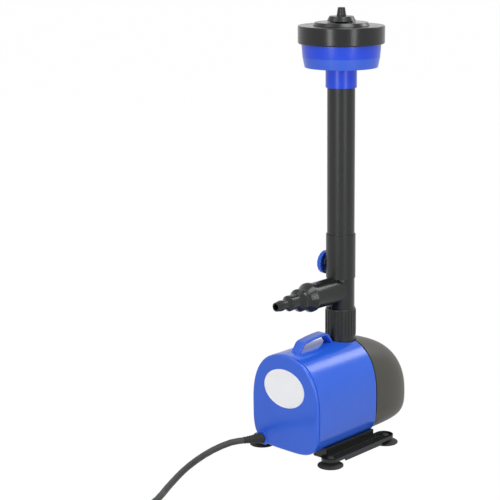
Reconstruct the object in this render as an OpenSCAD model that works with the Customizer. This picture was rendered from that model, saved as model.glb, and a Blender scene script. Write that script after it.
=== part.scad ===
// Fountain pump: a submersible motor on two suction-cup rails, with an outlet pipe, a branch for a hose,
// a regulator, a riser and a spray head. Millimetres, +Z up, floor at zero, label side towards -Y.
// The origin is the middle of the pump's footprint; pipe_y moves the pipe's axis to its place over it.

/* [Body] */
// Width of the blue body at its waist
body_w = 95; // [80:1:120]
// Height of the body's crown above the floor
body_top = 116; // [100:1:140]
// Height of the body's flat underside above the floor
body_bottom = 9; // [8:0.5:14]
// Height at which the body is widest
waist_z = 55.6; // [48:0.1:64]
// Distance from the pipe's axis to the front face
face_reach = 93; // [86:0.5:110]
// Distance from the pipe's axis to the seam in front of the strainer
seam_reach = 6.5; // [4:0.5:9]
// Distance from the pipe's axis to the rear of the strainer
rear_reach = 85; // [70:1:100]
// Wall of the housing and the strainer
shell_wall = 2.5; // [2:0.1:3.5]
// Thickness of the front cover's plate
cover_plate = 3.2; // [2.5:0.1:4]

/* [Handle] */
// Width of the handle's strap
handle_w = 12; // [8:0.5:18]
// Thickness of the handle's strap
handle_t = 3.2; // [2.5:0.1:5]
// Height of the handle above the crown
handle_rise = 13; // [10:0.5:20]
// Distance from the pipe's axis to the front foot
handle_front = 77; // [70:0.5:80]
// Distance from the pipe's axis to the rear foot
handle_rear = 17.8; // [17.5:0.1:22]

/* [Label] */
// Width of the oval label
label_w = 57.4; // [40:0.2:64]
// Height of the oval label
label_h = 42.4; // [30:0.2:48]
// Height of the label's centre
label_z = 79.6; // [70:0.2:84]
// Thickness of the label
label_t = 0.3; // [0.2:0.1:0.6]

/* [Rails] */
// Distance between the two rails' centre lines
rail_gap = 100; // [96:1:112]
// Width of each rail's tray
tray_w = 20; // [18:0.5:24]
// Height of the tray's rim above the floor
tray_rim_z = 10; // [9.8:0.1:12]
// Height of the wall that grips the body
grip_top_z = 18.2; // [15:0.2:22]
// Distance from the front face back to the front cups
cup_inset = 18; // [14:0.5:33]
// Distance from the pipe's axis back to the rear cups
cup_rear = 18.5; // [14:0.5:26]
// Radius of a suction cup
cup_r = 14; // [11:0.5:17]

/* [Outlet pipe and branch] */
// Radius of the outlet pipe
outlet_r = 17.1; // [16.6:0.1:19]
// Height of the outlet pipe's rim
outlet_top = 151.3; // [140:0.1:156]
// Radius of the branch piece's upright tube
run_r = 15.4; // [14.6:0.1:15.8]
// Height of the branch's axis
branch_z = 172.5; // [168:0.5:178]
// Radius of the branch's arm
arm_r = 14.4; // [13:0.1:15]
// Distance from the pipe's axis to the end of the arm
arm_reach = 51; // [46:0.5:60]
// Bore of the pipes
water_r = 12; // [10:0.1:12.6]

/* [Hose tail] */
// Distance from the pipe's axis to the hose tail's tip
tail_reach = 105; // [96:0.5:120]
// Radius of the tail's shoulder
shoulder_r = 16; // [15:0.1:17.5]
// Radius of the largest barb
barb_large_r = 12.3; // [11:0.1:13]
// Radius of the middle barb
barb_middle_r = 8.5; // [7.5:0.1:9.5]
// Radius of the smallest barb
barb_small_r = 5.8; // [5:0.1:6.5]
// Radius of the tail's bore
tail_bore_r = 3.4; // [3:0.1:3.8]

/* [Regulator] */
// Radius of the regulator's sleeve
sleeve_r = 16.2; // [16:0.1:18]
// Height of the sleeve's lower edge
sleeve_bottom = 185.2; // [184:0.1:190]
// Height of the sleeve's upper edge
sleeve_top = 234.2; // [226:0.2:244]
// Height of the knob's axis
knob_z = 199; // [198:0.5:203]
// Radius of the knob
knob_r = 13; // [10:0.5:16]
// Distance from the pipe's axis to the knob's open rim
knob_reach = 18.5; // [18.5:0.5:28]
// Depth of the knob
knob_t = 5; // [5:0.5:10]

/* [Riser] */
// Outer radius of the riser pipe
riser_r = 15; // [14:0.1:15.2]
// Wall of the riser pipe
riser_wall = 2.4; // [1.8:0.1:3]
// Depth of the riser in its socket
riser_depth = 18.4; // [16:0.2:19]

/* [Spray head] */
// Length of the neck below the bowl
neck_l = 21.7; // [16:0.1:26]
// Radius of the neck
neck_r = 16.8; // [16.4:0.1:18]
// Radius of the bowl under the cap
bowl_r = 42.3; // [38:0.1:46]
// Height of the bowl below the cap
bowl_h = 25; // [20:0.5:32]
// Radius of the cap
cap_r = 46.3; // [43:0.1:52]
// Height of the cap's rim
cap_h = 19; // [14:0.5:24]
// Radius at the foot of the lower spray ring
ring_r = 30.5; // [26:0.5:34]
// Radius at the foot of the upper spray ring
collar_r = 15.6; // [12:0.1:18]
// Height of the tip above the upper ring
tip_h = 9; // [6:0.5:14]
// Height of the whole pump, which sets how long the riser is
total_h = 478.5; // [380:0.5:700]

/* [Motor and pump] */
// Height of the rotor's axis
axis_z = 56; // [50:0.5:60]
// Radius of the pump chamber
chamber_r = 34; // [32:0.5:36]
// Depth of the pump chamber from front to back
chamber_l = 30; // [28:0.5:32]
// Outer radius of the rotor's can
can_r = 14.5; // [13:0.1:16]
// Radius of the rotor's magnet
magnet_r = 12.4; // [11:0.1:12.7]
// Radius of the ceramic shaft
shaft_r = 2; // [1.5:0.1:3]
// Radius of the impeller
impeller_r = 26; // [22:0.5:29]
// Number of impeller vanes
vanes = 6; // [4:1:8]

/* [Mains lead] */
// Diameter of the lead
cord_d = 7; // [6:0.1:7]
// Distance from the body's widest side in to the gland
gland_inset = 14; // [12:0.5:18]
// Height of the gland above the body's underside
gland_rise = 6.6; // [6.4:0.1:9]
// Turns in each of the coil's six layers
coil_turns = 4.75; // [3:0.05:4.75]
// Gap between the coil's turns
coil_gap = 0.55; // [0.5:0.01:1]
// Length of the plug's body
plug_l = 38; // [30:1:50]
// Radius of the plug's body
plug_r = 18.5; // [16:0.5:20]

/* [Hidden] */
$fn = 64;
// Overrun of every cut past the face that it starts on
over = 1;
// Clearance between pieces that slide or turn on each other
run_fit = 0.05;
// Clearance between pieces that are only put together
seat_fit = 0.2;
// Seam between the housing and the strainer
seam_gap = 0.4;

// Body section: a superellipse, fuller below the waist than above it
outline_sides = 72;
crown_power_share = 2.45;
keel_power_share = 4;
strainer_keel_share = 3.2;
front_y = -face_reach;
plate_back_y = front_y + cover_plate;
seam_y = seam_reach;
gland_x = body_w / 2 - gland_inset;
gland_z = body_bottom + gland_rise;
cup_front = face_reach - cup_inset;

// Rounding of the front cover's edge: depth and inset of each ring, as shares of the plate
edge_depth_shares = [0, 0.08, 0.25, 0.55, 0.85, 1];
edge_inset_shares = [1, 0.6, 0.26, 0.05, 0, 0.16];

// Strainer dome: how far along it each ring lies, and how it narrows and droops
dome_shares = [0, 0.16, 0.32, 0.48, 0.62, 0.74, 0.83, 0.9, 0.95, 0.98, 0.997];
dome_side_share = 2.9;
dome_crown_share = 3.5;
dome_droop_share = 0.158;
dome_keel_share = 8;
slot_w = 3.2;
slot_pitch = 6.4;
rear_slots = 9;
rear_slot_h = 52;
floor_slots = 5;
floor_slot_l = 34;
floor_slot_pitch = 9;
tongue_w = 16;
tongue_l = 12;
tongue_t = 2;

// Handle
corner_front_r = 8;
corner_rear_r = 9;
lean_front = 14;
lean_rear = 15.2;
foot_sink = 2;

// Cable gland
gland_turn = 40;
gland_r = 4.4;
gland_flange_r = 5.8;
gland_flange_t = 1.2;
gland_boss_r = 8.6;
gland_boss_t = 0.8;
gland_dip = 5;
gland_nose_l = 20;
gland_tip_t = 0.2;

// Rails
rail_x = rail_gap / 2;
tray_wall = 1.6;
tray_floor_z = 6.4;
tray_floor_t = 1.6;
tray_skirt_z = 4;
tray_end_rear = 16.5;
skirt_clear = 4;
grip_t = 3;
grip_x = 42.6;
grip_end = 2;
grip_rear = 3;
shelf_w = 15;
peg_r = 3;
peg_foot_z = 7.6;
peg_x = 35;
peg_ys_share = [-0.62, -0.12];

// Suction cups
cup_edge_t = 0.9;
cup_hollow = 1.2;
cup_bead = 1.6;
stem_r = 5.2;
stem_flutes = 8;
stem_flute_r = 0.7;
cup_shoulder_z = 3.6;
button_r = 4;
button_t = 1.8;
button_neck_r = 2.6;

// Outlet pipe
outlet_foot_z = 100;
outlet_rib_r = 0.6;
outlet_ribs = 24;
outlet_rib_foot = 120;
outlet_chamfer = 1.2;
port_r = 14.2;
port_top = 112;
socket_foot_z = 126;
port_hole_r = 17.4;

// Branch piece
run_foot_z = 128;
spigot_r = 13.6;
spigot_l = 5;
arm_wall = 2.4;
groove_w = 3;
groove_d = 1.5;
seal_z = 133;

// Hose tail: lengths of its steps from the shoulder to the tip
shoulder_l = 3;
flare_l = 7;
neck_large_r = 11.6;
neck_large_l = 6;
land_l = 3;
cone_large_l = 4;
neck_middle_r = 8.2;
neck_middle_l = 9;
cone_middle_l = 4;
neck_small_r = 5.2;
thread_rings = 4;
thread_ring_w = 0.8;
thread_ring_h = 0.5;
tip_l = 6;
tip_r = 4.8;
tail_plug_l = 12;

// Regulator
socket_r = riser_r + run_fit;
socket_z = sleeve_top - riser_depth;
boss_r = 6.2;
boss_reach = 18;
handle_arch = 2.5;
stem_bore_r = 3;
vane_t = 2.4;
vane_clear = 0.3;
knob_wall = 3.2;
knob_hub_r = 4.6;
knob_grips = 16;
knob_grip_r = 0.8;
seal_t = 2;

// Riser and spray head
riser_foot_z = socket_z + seat_fit;
bowl_wall = 2.2;
bowl_foot_share = 0.926;
bowl_break_share = 0.976;
bowl_break_z = 10.7;
cap_wall = 3.2;
cap_plate = 4;
cap_chamfer = 1.4;
ring_top_share = 0.928;
ring_h = 3.4;
ring_gap = 1;
collar_top_share = 0.82;
collar_h = 5.4;
tip_foot_r = 5.2;
tip_top_r = 3.8;
tip_flutes = 10;
neck_gap = 4;
cap_top = total_h - tip_h - collar_h - ring_gap - ring_h;
cap_z = cap_top - cap_h;
bowl_z = cap_z - bowl_h;
neck_z = bowl_z - neck_l;
riser_top = bowl_z - neck_gap;
stalk_r = 6;
spray_gap = 1.4;
spoke_w = 3;
spokes = 4;

// Motor
flange_t = 3;
bulkhead_t = 3;
chamber_front_y = -chamber_l / 2;
chamber_back_y = chamber_l / 2;
chamber_wall = 2.5;
ear_r = 4.2;
ear_pcd_r = 37;
ear_count = 4;
screw_r = 1.5;
screw_head_r = 2.8;
screw_head_t = 2.2;
screw_grip = 6;
can_wall = 1.2;
can_l = 52;
lid_t = 3;
eye_r = 13;
hub_r = 5;
bush_r = 4;
bush_l = 4;
magnet_l = 46;
magnet_front_gap = 1.5;
disc_t = 2;
vane_h = 23;
vane_w = 1.6;
hub_l = 22;
core_h = 62;
core_l = 34;
core_gap = 1.5;
window_h = 38;
bobbin_t = 1;

// The motor fills the room between can and shell: bridge, window, leg and winding, as shares of that room
bridge_share = 0.1;
window_share = 0.28;
leg_share = 0.23;
wound_share = 0.245;

// Lead: the route's points are chosen along what the lead does, then the coil follows by formula
cord_r = cord_d / 2;
cord_route = [
    [-54.5, -120, 12.6], [-58.5, -130, 10.6], [-60.5, -142, 8.6], [-60.5, -155, 6.8], [-58.5, -169, 5.3],
    [-55, -183, 4.2], [-50, -197, 3.6], [-43.5, -211, 3.5], [-36.5, -225, 3.5], [-29.5, -238.5, 3.5],
    [-22, -252, 3.5], [-15, -266, 3.5], [-10, -280, 3.5], [-8, -295, 3.5], [-9.5, -310, 3.5],
    [-14, -325, 3.5], [-20.5, -340, 3.5], [-28, -355, 3.5], [-36, -370, 3.5], [-43.5, -385, 3.6],
    [-50, -401, 3.8], [-54.5, -418, 4.1], [-57.5, -435, 4.3], [-58.7, -452, 4.4]];
cord_sides = 8;
coil_middle = [8, -478.5, 1];
coil_layers = 6;
coil_mean_share = 7;
coil_sides = 6;
loop_rings = 24;
coil_pitch = cord_d + coil_gap;
coil_out_r = coil_mean_share * cord_d + coil_pitch * coil_turns / 2;
coil_start_a = -360 * coil_layers * coil_turns;
tail_l = 60;
tail_rings = 8;
tail_in = 6;
tie_w = 9;
tie_t = 0.8;
tie_a = 100;
relief_l = 28;
relief_foot_r = 4.8;
relief_top_r = 7.5;
plug_shoulder_l = 10;
pin_r = 2.4;
pin_l = 19;
pin_gap = 19;
pin_root = 6;
pin_root_r = 1.8;
earth_w = 5;
earth_d = 2;

gland_way = [-sin(gland_turn) * cos(gland_dip), -cos(gland_turn) * cos(gland_dip), -sin(gland_dip)];
gland_tip = [-gland_x, front_y, gland_z] + gland_nose_l * gland_way;
gland_tip_r = cord_r + gland_tip_t;

// The gland's tip, or the hose tail's, and the strainer's rear are the ends of the footprint
gland_reach = gland_tip_r * sqrt(1 - pow(gland_way[1], 2)) - gland_tip[1];
pipe_y = (max(tail_reach, gland_reach) - rear_reach) / 2;

grip_front = cup_front + grip_end;
side_room = body_w / 2 - shell_wall - can_r;
window_in = can_r + side_room * bridge_share;
window_out = window_in + side_room * window_share;
core_w = 2 * (window_out + side_room * leg_share);
wound_t = side_room * wound_share;
core_y = chamber_front_y - flange_t - bulkhead_t - wound_t - core_gap - core_l;

// Everything but the lead is placed from the pipe's axis
module at_pipe() {
    translate([0, pipe_y, 0]) children();
}

// Round bar along +Y
module bar_y(r, y0, y1) {
    translate([0, y0, 0]) rotate([-90, 0, 0]) cylinder(r = r, h = y1 - y0);
}

// Prism along +Y with its outline in x and z
module prism_y(points, y0, y1) {
    translate([0, y1, 0]) rotate([90, 0, 0]) linear_extrude(y1 - y0) polygon(points);
}

// Turned solid about the Y axis: its outline is in radius and distance towards -Y
module turned_front(points) {
    rotate([90, 0, 0]) rotate_extrude() polygon(points);
}

function side_of(v) = v < 0 ? -1 : 1;
function power(v, n) = side_of(v) * pow(abs(v), 2 / n);

// Body outline, drawn in by inset on every side
function body_outline(inset, keel = keel_power_share) = [
    for (i = [0 : outline_sides - 1])
        let (a = 360 * i / outline_sides, n = sin(a) < 0 ? keel : crown_power_share,
            h = (sin(a) < 0 ? waist_z - body_bottom : body_top - waist_z) - inset)
        [(body_w / 2 - inset) * power(cos(a), n), waist_z + h * power(sin(a), n)]];

// Closed skin through rings of equal count; seen from the first end each ring runs clockwise
module skin(rings) {
    n = len(rings[0]);
    m = len(rings);
    polyhedron(
        points = [for (r = rings) each r],
        faces = concat(
            [[for (i = [0 : n - 1]) i]],
            [for (j = [0 : m - 2]) for (i = [0 : n - 1]) each [
                [j * n + i, (j + 1) * n + i, (j + 1) * n + (i + 1) % n],
                [j * n + i, (j + 1) * n + (i + 1) % n, j * n + (i + 1) % n]]],
            [[for (i = [0 : n - 1]) m * n - 1 - i]]));
}

function at_y(outline, y) = [for (p = outline) [-p[0], y, p[1]]];

function narrowing(t, n) = pow(1 - pow(t, n), 1 / n);

// One ring of the strainer's dome at share t of its length
function dome_ring(t, inset, y0, length) =
    let (side = narrowing(t, dome_side_share),
        crown = (1 - dome_droop_share * t) * narrowing(t, dome_crown_share),
        keel = narrowing(t, dome_keel_share),
        low = body_bottom + inset)
    [for (p = body_outline(inset, strainer_keel_share))
        [-p[0] * side, y0 + length * t, low + (p[1] - low) * (p[1] > waist_z ? crown
            : keel + (crown - keel) * (p[1] - low) / (waist_z - low))]];

module dome(inset, y0, length) {
    skin([for (t = dome_shares) dome_ring(t, inset, y0, length)]);
}

// Points on an arc in a plane
function arc(middle, r, from, to, steps) = [
    for (i = [0 : steps]) let (a = from + (to - from) * i / steps)
        [middle[0] + r * cos(a), middle[1] + r * sin(a)]];

// Handle side view: a leaning front leg, a level strap and a leaning rear leg
function handle_line(inset, drop) =
    let (top = body_top + handle_rise, foot = body_top - foot_sink - drop)
    concat(
        [[-handle_front + inset, foot]],
        arc([-handle_front + lean_front, top - handle_arch - corner_front_r], corner_front_r - inset,
            155, 97, 6),
        [[-(handle_front + handle_rear) / 2, top - handle_arch / 8 - inset]],
        arc([-handle_rear - lean_rear, top - corner_rear_r], corner_rear_r - inset, 90, 30, 6),
        [[-handle_rear - inset, foot]]);

module handle() {
    translate([-handle_w / 2, 0, 0]) rotate([90, 0, 90]) linear_extrude(handle_w) difference() {
        polygon(handle_line(0, 0));
        polygon(handle_line(handle_t, over));
    }
}

module pegs(r, z0) {
    for (s = [-1, 1]) for (y = peg_ys_share)
        translate([s * peg_x, y * face_reach, z0]) cylinder(r = r, h = waist_z - z0);
}

module ears(r, y0, y1) {
    for (i = [0 : ear_count - 1]) rotate([0, 45 + 360 * i / ear_count, 0])
        translate([0, 0, ear_pcd_r]) bar_y(r, y0, y1);
}

module on_axis() {
    translate([0, 0, axis_z]) children();
}

// Blue housing: shell, bulkhead for the rotor's can, handle and pegs for the rails
module housing() {
    bulkhead_y = chamber_front_y - flange_t;
    color("royalblue") at_pipe() difference() {
        union() {
            difference() {
                prism_y(body_outline(0), plate_back_y, seam_y);
                prism_y(body_outline(shell_wall), plate_back_y - over, seam_y + over);
            }
            prism_y(body_outline(shell_wall / 2), bulkhead_y - bulkhead_t, bulkhead_y);
            handle();
            difference() {
                pegs(peg_r, peg_foot_z);
                prism_y(body_outline(shell_wall / 2), plate_back_y, seam_y);
            }
        }
        translate([0, 0, body_top - handle_w]) cylinder(r = port_hole_r, h = handle_w * 2);
        on_axis() bar_y(can_r + seat_fit, bulkhead_y - bulkhead_t - over, bulkhead_y + over);
        on_axis() ears(screw_r + seat_fit, bulkhead_y - bulkhead_t - over, bulkhead_y + over);
    }
}

// Front cover: rounded plate with a rim that plugs into the housing and a boss for the gland
module front_cover() {
    depth = cover_plate;
    rim_in = shell_wall + seat_fit;
    color("royalblue") at_pipe() difference() {
        union() {
            skin([for (i = [0 : len(edge_depth_shares) - 1])
                at_y(body_outline(edge_inset_shares[i] * depth), front_y + edge_depth_shares[i] * depth)]);
            difference() {
                prism_y(body_outline(rim_in), plate_back_y - depth / 2, plate_back_y + depth);
                prism_y(body_outline(rim_in + shell_wall), plate_back_y - depth, plate_back_y + 2 * depth);
            }
            translate([-gland_x, 0, gland_z]) bar_y(gland_boss_r, front_y - gland_boss_t, plate_back_y);
        }
        translate([-gland_x, 0, gland_z]) bar_y(gland_r + seat_fit, front_y - depth, plate_back_y + 2 * depth);
        translate([-body_w / 2, front_y - depth, 0]) cube([body_w, 3 * depth, body_bottom]);
    }
}

// Bare oval label
module label() {
    color("white") at_pipe() translate([0, front_y, label_z]) scale([label_w / label_h, 1, 1])
        bar_y(label_h / 2, -label_t, 0);
}

// Gland: a sleeve through the cover, a flange on the boss and a nose turned the way the lead leaves
module cable_gland() {
    boss_y = front_y - gland_boss_t;
    color("black") at_pipe() translate([-gland_x, 0, gland_z]) {
        bar_y(gland_r, boss_y, plate_back_y - seat_fit);
        bar_y(gland_flange_r, boss_y - gland_flange_t, boss_y);
        difference() {
            translate([0, front_y, 0]) rotate([90 + gland_dip, 0, -gland_turn]) union() {
                sphere(r = gland_flange_r);
                cylinder(r1 = gland_flange_r, r2 = gland_tip_r, h = gland_nose_l);
            }
            bar_y(gland_boss_r, boss_y, front_y + gland_nose_l);
        }
    }
}

// Resin that fills the front of the housing round the motor
module potting() {
    back_y = chamber_front_y - flange_t - bulkhead_t;
    start_y = plate_back_y + cover_plate + seat_fit;
    slack = 2 * seat_fit;
    color("dimgray") at_pipe() difference() {
        prism_y(body_outline(shell_wall + seat_fit), start_y, back_y);
        translate([0, core_y + core_l / 2, axis_z]) {
            cube([core_w + slack, core_l + slack, core_h + slack], center = true);
            cube([core_w + 2 * wound_t + slack, core_l + 2 * wound_t + slack, window_h + slack], center = true);
        }
        on_axis() bar_y(can_r + seat_fit, can_floor_y() - can_wall - seat_fit, back_y + over);
    }
}

// Laminated core: a block with the can's bore and a window on each side
module stator_core() {
    color("silver") at_pipe() on_axis() difference() {
        translate([0, core_y + core_l / 2, 0]) cube([core_w, core_l, core_h], center = true);
        bar_y(can_r + seat_fit, core_y - over, core_y + core_l + over);
        for (s = [-1, 1]) translate([s * (window_in + window_out) / 2, core_y + core_l / 2, 0])
            cube([window_out - window_in, core_l + 2 * over, window_h], center = true);
    }
}

// Box ring round the core's leg on side s
module leg_ring(s, inner, outer, h) {
    leg = core_w / 2 - window_out;
    translate([s * (core_w / 2 - leg / 2), core_y + core_l / 2, 0]) difference() {
        cube([leg + 2 * outer, core_l + 2 * outer, h], center = true);
        cube([leg + 2 * inner, core_l + 2 * inner, h + 2 * over], center = true);
    }
}

module bobbins() {
    clear = seat_fit / 2;
    color("ivory") at_pipe() on_axis() for (s = [-1, 1]) {
        leg_ring(s, clear, bobbin_t, window_h - 2 * clear);
        for (e = [-1, 1]) translate([0, 0, e * (window_h / 2 - clear - bobbin_t / 2)])
            leg_ring(s, clear, wound_t, bobbin_t);
    }
}

module windings() {
    color("peru") at_pipe() on_axis() for (s = [-1, 1])
        leg_ring(s, bobbin_t, wound_t, window_h - 2 * bobbin_t - seat_fit);
}

// Thin can that keeps the water from the motor, open towards the pump chamber
module rotor_can() {
    back_y = chamber_front_y;
    front = back_y - flange_t - can_l;
    color("black") at_pipe() on_axis() difference() {
        union() {
            bar_y(can_r, front, back_y - over);
            bar_y(chamber_r, back_y - flange_t, back_y);
            ears(ear_r, back_y - flange_t, back_y);
        }
        bar_y(can_r - can_wall, front + can_wall, back_y + over);
        ears(screw_r + seat_fit, back_y - flange_t - over, back_y + over);
    }
}

function can_floor_y() = chamber_front_y - flange_t - can_l + can_wall;

module shaft() {
    color("whitesmoke") at_pipe() on_axis() bar_y(shaft_r, can_floor_y() + bush_l / 2, chamber_back_y + lid_t);
}

module front_bush() {
    y = can_floor_y();
    color("dimgray") at_pipe() on_axis() difference() {
        bar_y(can_r - can_wall - seat_fit, y, y + bush_l);
        bar_y(shaft_r, y + bush_l / 2, y + bush_l + over);
    }
}

module rotor_magnet() {
    y = can_floor_y() + bush_l + magnet_front_gap;
    color("slategray") at_pipe() on_axis() difference() {
        bar_y(magnet_r, y, y + magnet_l);
        bar_y(shaft_r + run_fit, y - over, y + magnet_l + over);
    }
}

// Open impeller: a disc with straight vanes round a hub that meets the magnet
module impeller() {
    y = can_floor_y() + bush_l + magnet_front_gap + magnet_l;
    disc_y = chamber_front_y + disc_t;
    color("white") at_pipe() on_axis() difference() {
        union() {
            bar_y(hub_r, y, disc_y + hub_l);
            bar_y(impeller_r, disc_y, disc_y + disc_t);
            for (i = [0 : vanes - 1]) rotate([0, 360 * i / vanes, 0])
                translate([0, disc_y, -vane_w / 2]) cube([impeller_r, vane_h, vane_w]);
        }
        bar_y(shaft_r + run_fit, y - over, disc_y + hub_l + over);
    }
}

module rear_bush() {
    y = chamber_back_y;
    color("dimgray") at_pipe() on_axis() difference() {
        bar_y(bush_r, y, y + lid_t);
        bar_y(shaft_r, y - over, y + lid_t + over);
    }
}

// Pump chamber: a round wall round the impeller with the port on top
module pump_chamber() {
    color("black") at_pipe() difference() {
        union() {
            on_axis() bar_y(chamber_r, chamber_front_y, chamber_back_y);
            on_axis() ears(ear_r, chamber_front_y, chamber_back_y);
            translate([0, 0, axis_z]) cylinder(r = port_r, h = port_top - axis_z);
        }
        on_axis() bar_y(chamber_r - chamber_wall, chamber_front_y - over, chamber_back_y + over);
        on_axis() ears(screw_r + seat_fit, chamber_front_y - over, chamber_back_y + over);
        translate([0, 0, axis_z]) cylinder(r = port_r - chamber_wall, h = port_top - axis_z + over);
    }
}

// Flat ring that seals the lid on the chamber
module chamber_seal() {
    y = chamber_back_y;
    color("black") at_pipe() on_axis() difference() {
        bar_y(chamber_r - chamber_wall - seat_fit, y - seal_t, y);
        bar_y(impeller_r + seal_t, y - seal_t - over, y + over);
    }
}

// Lid with the intake eye: three spokes carry the rear bush
module chamber_lid() {
    y = chamber_back_y;
    spoke_count = 3;
    color("black") at_pipe() on_axis() difference() {
        union() {
            difference() {
                union() {
                    bar_y(chamber_r, y, y + lid_t);
                    ears(ear_r, y, y + lid_t);
                }
                bar_y(eye_r, y - over, y + lid_t + over);
            }
            bar_y(hub_r + seat_fit, y, y + lid_t);
            for (i = [0 : spoke_count - 1]) rotate([0, 90 + 360 * i / spoke_count, 0])
                translate([(bush_r + hub_r) / 2, y, -vane_w]) cube([eye_r, lid_t, 2 * vane_w]);
        }
        bar_y(bush_r, y - over, y + lid_t + over);
        ears(screw_r + seat_fit, y - over, y + lid_t + over);
    }
}

module chamber_screws() {
    y = chamber_back_y + lid_t;
    color("silver") at_pipe() on_axis() {
        ears(screw_r, chamber_front_y - screw_grip, y);
        difference() {
            ears(screw_head_r, y, y + screw_head_t);
            ears(screw_head_r / 2, y + screw_head_t / 2, y + screw_head_t + over);
        }
    }
}

// Rear strainer: a domed shell with slots behind and below, notched in front for the outlet pipe
module strainer() {
    y = seam_y + seam_gap;
    length = (rear_reach - y) / dome_shares[len(dome_shares) - 1];
    tongue_x = body_w / 2 - shell_wall - 2 * seat_fit;
    color("#35342f") at_pipe() difference() {
        union() {
            difference() {
                dome(0, y, length);
                dome(shell_wall, y - over, length - shell_wall + over);
            }
            for (s = [0, 1]) mirror([s, 0, 0]) {
                translate([tongue_x - tongue_t, y - tongue_l / 2, waist_z - tongue_w / 2])
                    cube([tongue_t, tongue_l, tongue_w]);
                translate([tongue_x - tongue_t, y + tongue_t, waist_z - tongue_w / 2])
                    cube([tongue_t + shell_wall / 2, tongue_l / 2 - tongue_t, tongue_w]);
            }
        }
        translate([0, 0, body_top - port_r]) cylinder(r = port_hole_r, h = port_r * 2);
        for (i = [0 : rear_slots - 1]) translate([(i - (rear_slots - 1) / 2) * slot_pitch - slot_w / 2,
            rear_reach / 2, axis_z - rear_slot_h / 2]) cube([slot_w, rear_reach, rear_slot_h]);
        for (i = [0 : floor_slots - 1])
            translate([(i - (floor_slots - 1) / 2) * floor_slot_pitch - slot_w / 2, y + chamber_l, 0])
                cube([slot_w, floor_slot_l, body_bottom + 2 * shell_wall]);
    }
}

// Plan of the tray: a bar with round ends, drawn in by inset
module tray_plan(inset) {
    r = tray_w / 2 - inset;
    union() {
        translate([0, -cup_front]) circle(r = r);
        translate([0, tray_end_rear]) circle(r = r);
        translate([-r, -cup_front]) square([2 * r, cup_front + tray_end_rear]);
    }
}

// Right rail: tray, skirt between the cups and a cradle that follows the body's lower corner
module rail() {
    floor_top = tray_floor_z + tray_floor_t;
    color("#26282a") difference() {
        union() {
            translate([rail_x, 0, tray_floor_z]) linear_extrude(tray_rim_z - tray_floor_z) tray_plan(0);
            translate([rail_x + tray_w / 2 - tray_wall, -cup_front + cup_r, tray_skirt_z])
                cube([tray_wall, cup_front + cup_rear - 2 * cup_r - skirt_clear, tray_rim_z - tray_skirt_z]);
            translate([grip_x - shelf_w, -grip_front, tray_floor_z])
                cube([shelf_w + grip_t, grip_front + grip_rear, grip_top_z - tray_floor_z]);
        }
        translate([rail_x, 0, floor_top]) linear_extrude(grip_top_z) intersection() {
            tray_plan(tray_wall);
            translate([grip_x + grip_t - rail_x, -2 * cup_front]) square([tray_w, 4 * cup_front]);
        }
        prism_y(body_outline(0), -2 * cup_front, 2 * cup_front);
        pegs(peg_r + seat_fit, tray_floor_z - over);
        for (y = [-cup_front, cup_rear]) translate([rail_x, y, tray_floor_z - over])
            cylinder(r = button_neck_r + seat_fit, h = tray_floor_t + 2 * over);
    }
}

module right_rail() {
    at_pipe() rail();
}

module left_rail() {
    at_pipe() mirror([1, 0, 0]) rail();
}

// Suction cup: a hollow disc on a fluted stem with a button that snaps into the tray
module suction_cup() {
    floor_top = tray_floor_z + tray_floor_t;
    difference() {
        rotate_extrude() polygon([[0, cup_hollow], [cup_r - 2 * cup_bead, cup_hollow], [cup_r - cup_bead, 0],
            [cup_r, 0], [cup_r, cup_edge_t], [stem_r + cup_bead, cup_shoulder_z],
            [stem_r, cup_shoulder_z + cup_edge_t], [stem_r, tray_floor_z], [button_neck_r, tray_floor_z],
            [button_neck_r, floor_top], [button_r, floor_top], [button_r, floor_top + button_t / 2],
            [button_neck_r, floor_top + button_t], [0, floor_top + button_t]]);
        for (i = [0 : stem_flutes - 1]) rotate(360 * i / stem_flutes)
            translate([stem_r + stem_flute_r / 2, 0, cup_shoulder_z + cup_edge_t])
                cylinder(r = stem_flute_r, h = tray_floor_z - cup_shoulder_z - cup_edge_t);
    }
}

module suction_cups() {
    color("#151515") at_pipe() for (x = [-rail_x, rail_x]) for (y = [-cup_front, cup_rear])
        translate([x, y, 0]) suction_cup();
}

// Ring of small rods round the z axis
module ribs(count, rod_r, ring_r, z0, z1) {
    for (i = [0 : count - 1]) rotate(360 * i / count)
        translate([ring_r, 0, z0]) cylinder(r = rod_r, h = z1 - z0);
}

// Upright tube
module tube(outer, inner, z0, z1) {
    difference() {
        translate([0, 0, z0]) cylinder(r = outer, h = z1 - z0);
        translate([0, 0, z0 - over]) cylinder(r = inner, h = z1 - z0 + 2 * over);
    }
}

// Round bar along +X
module bar_x(r, x0, x1) {
    translate([x0, 0, 0]) rotate([0, 90, 0]) cylinder(r = r, h = x1 - x0);
}

// Outlet pipe: slips over the pump's port below and takes the branch piece above
module outlet_pipe() {
    r = outlet_r - outlet_rib_r;
    color("black") at_pipe() difference() {
        union() {
            translate([0, 0, outlet_foot_z]) cylinder(r = r, h = outlet_top - outlet_foot_z - outlet_chamfer);
            translate([0, 0, outlet_top - outlet_chamfer])
                cylinder(r1 = r, r2 = r - outlet_chamfer / 2, h = outlet_chamfer);
            ribs(outlet_ribs, outlet_rib_r, r, outlet_rib_foot, outlet_top - 2 * outlet_chamfer);
        }
        translate([0, 0, outlet_foot_z - over]) cylinder(r = water_r, h = outlet_top);
        translate([0, 0, outlet_foot_z - over])
            cylinder(r = port_r + run_fit, h = port_top - outlet_foot_z + over);
        translate([0, 0, socket_foot_z]) cylinder(r = run_r + run_fit, h = outlet_top);
    }
}

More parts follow.
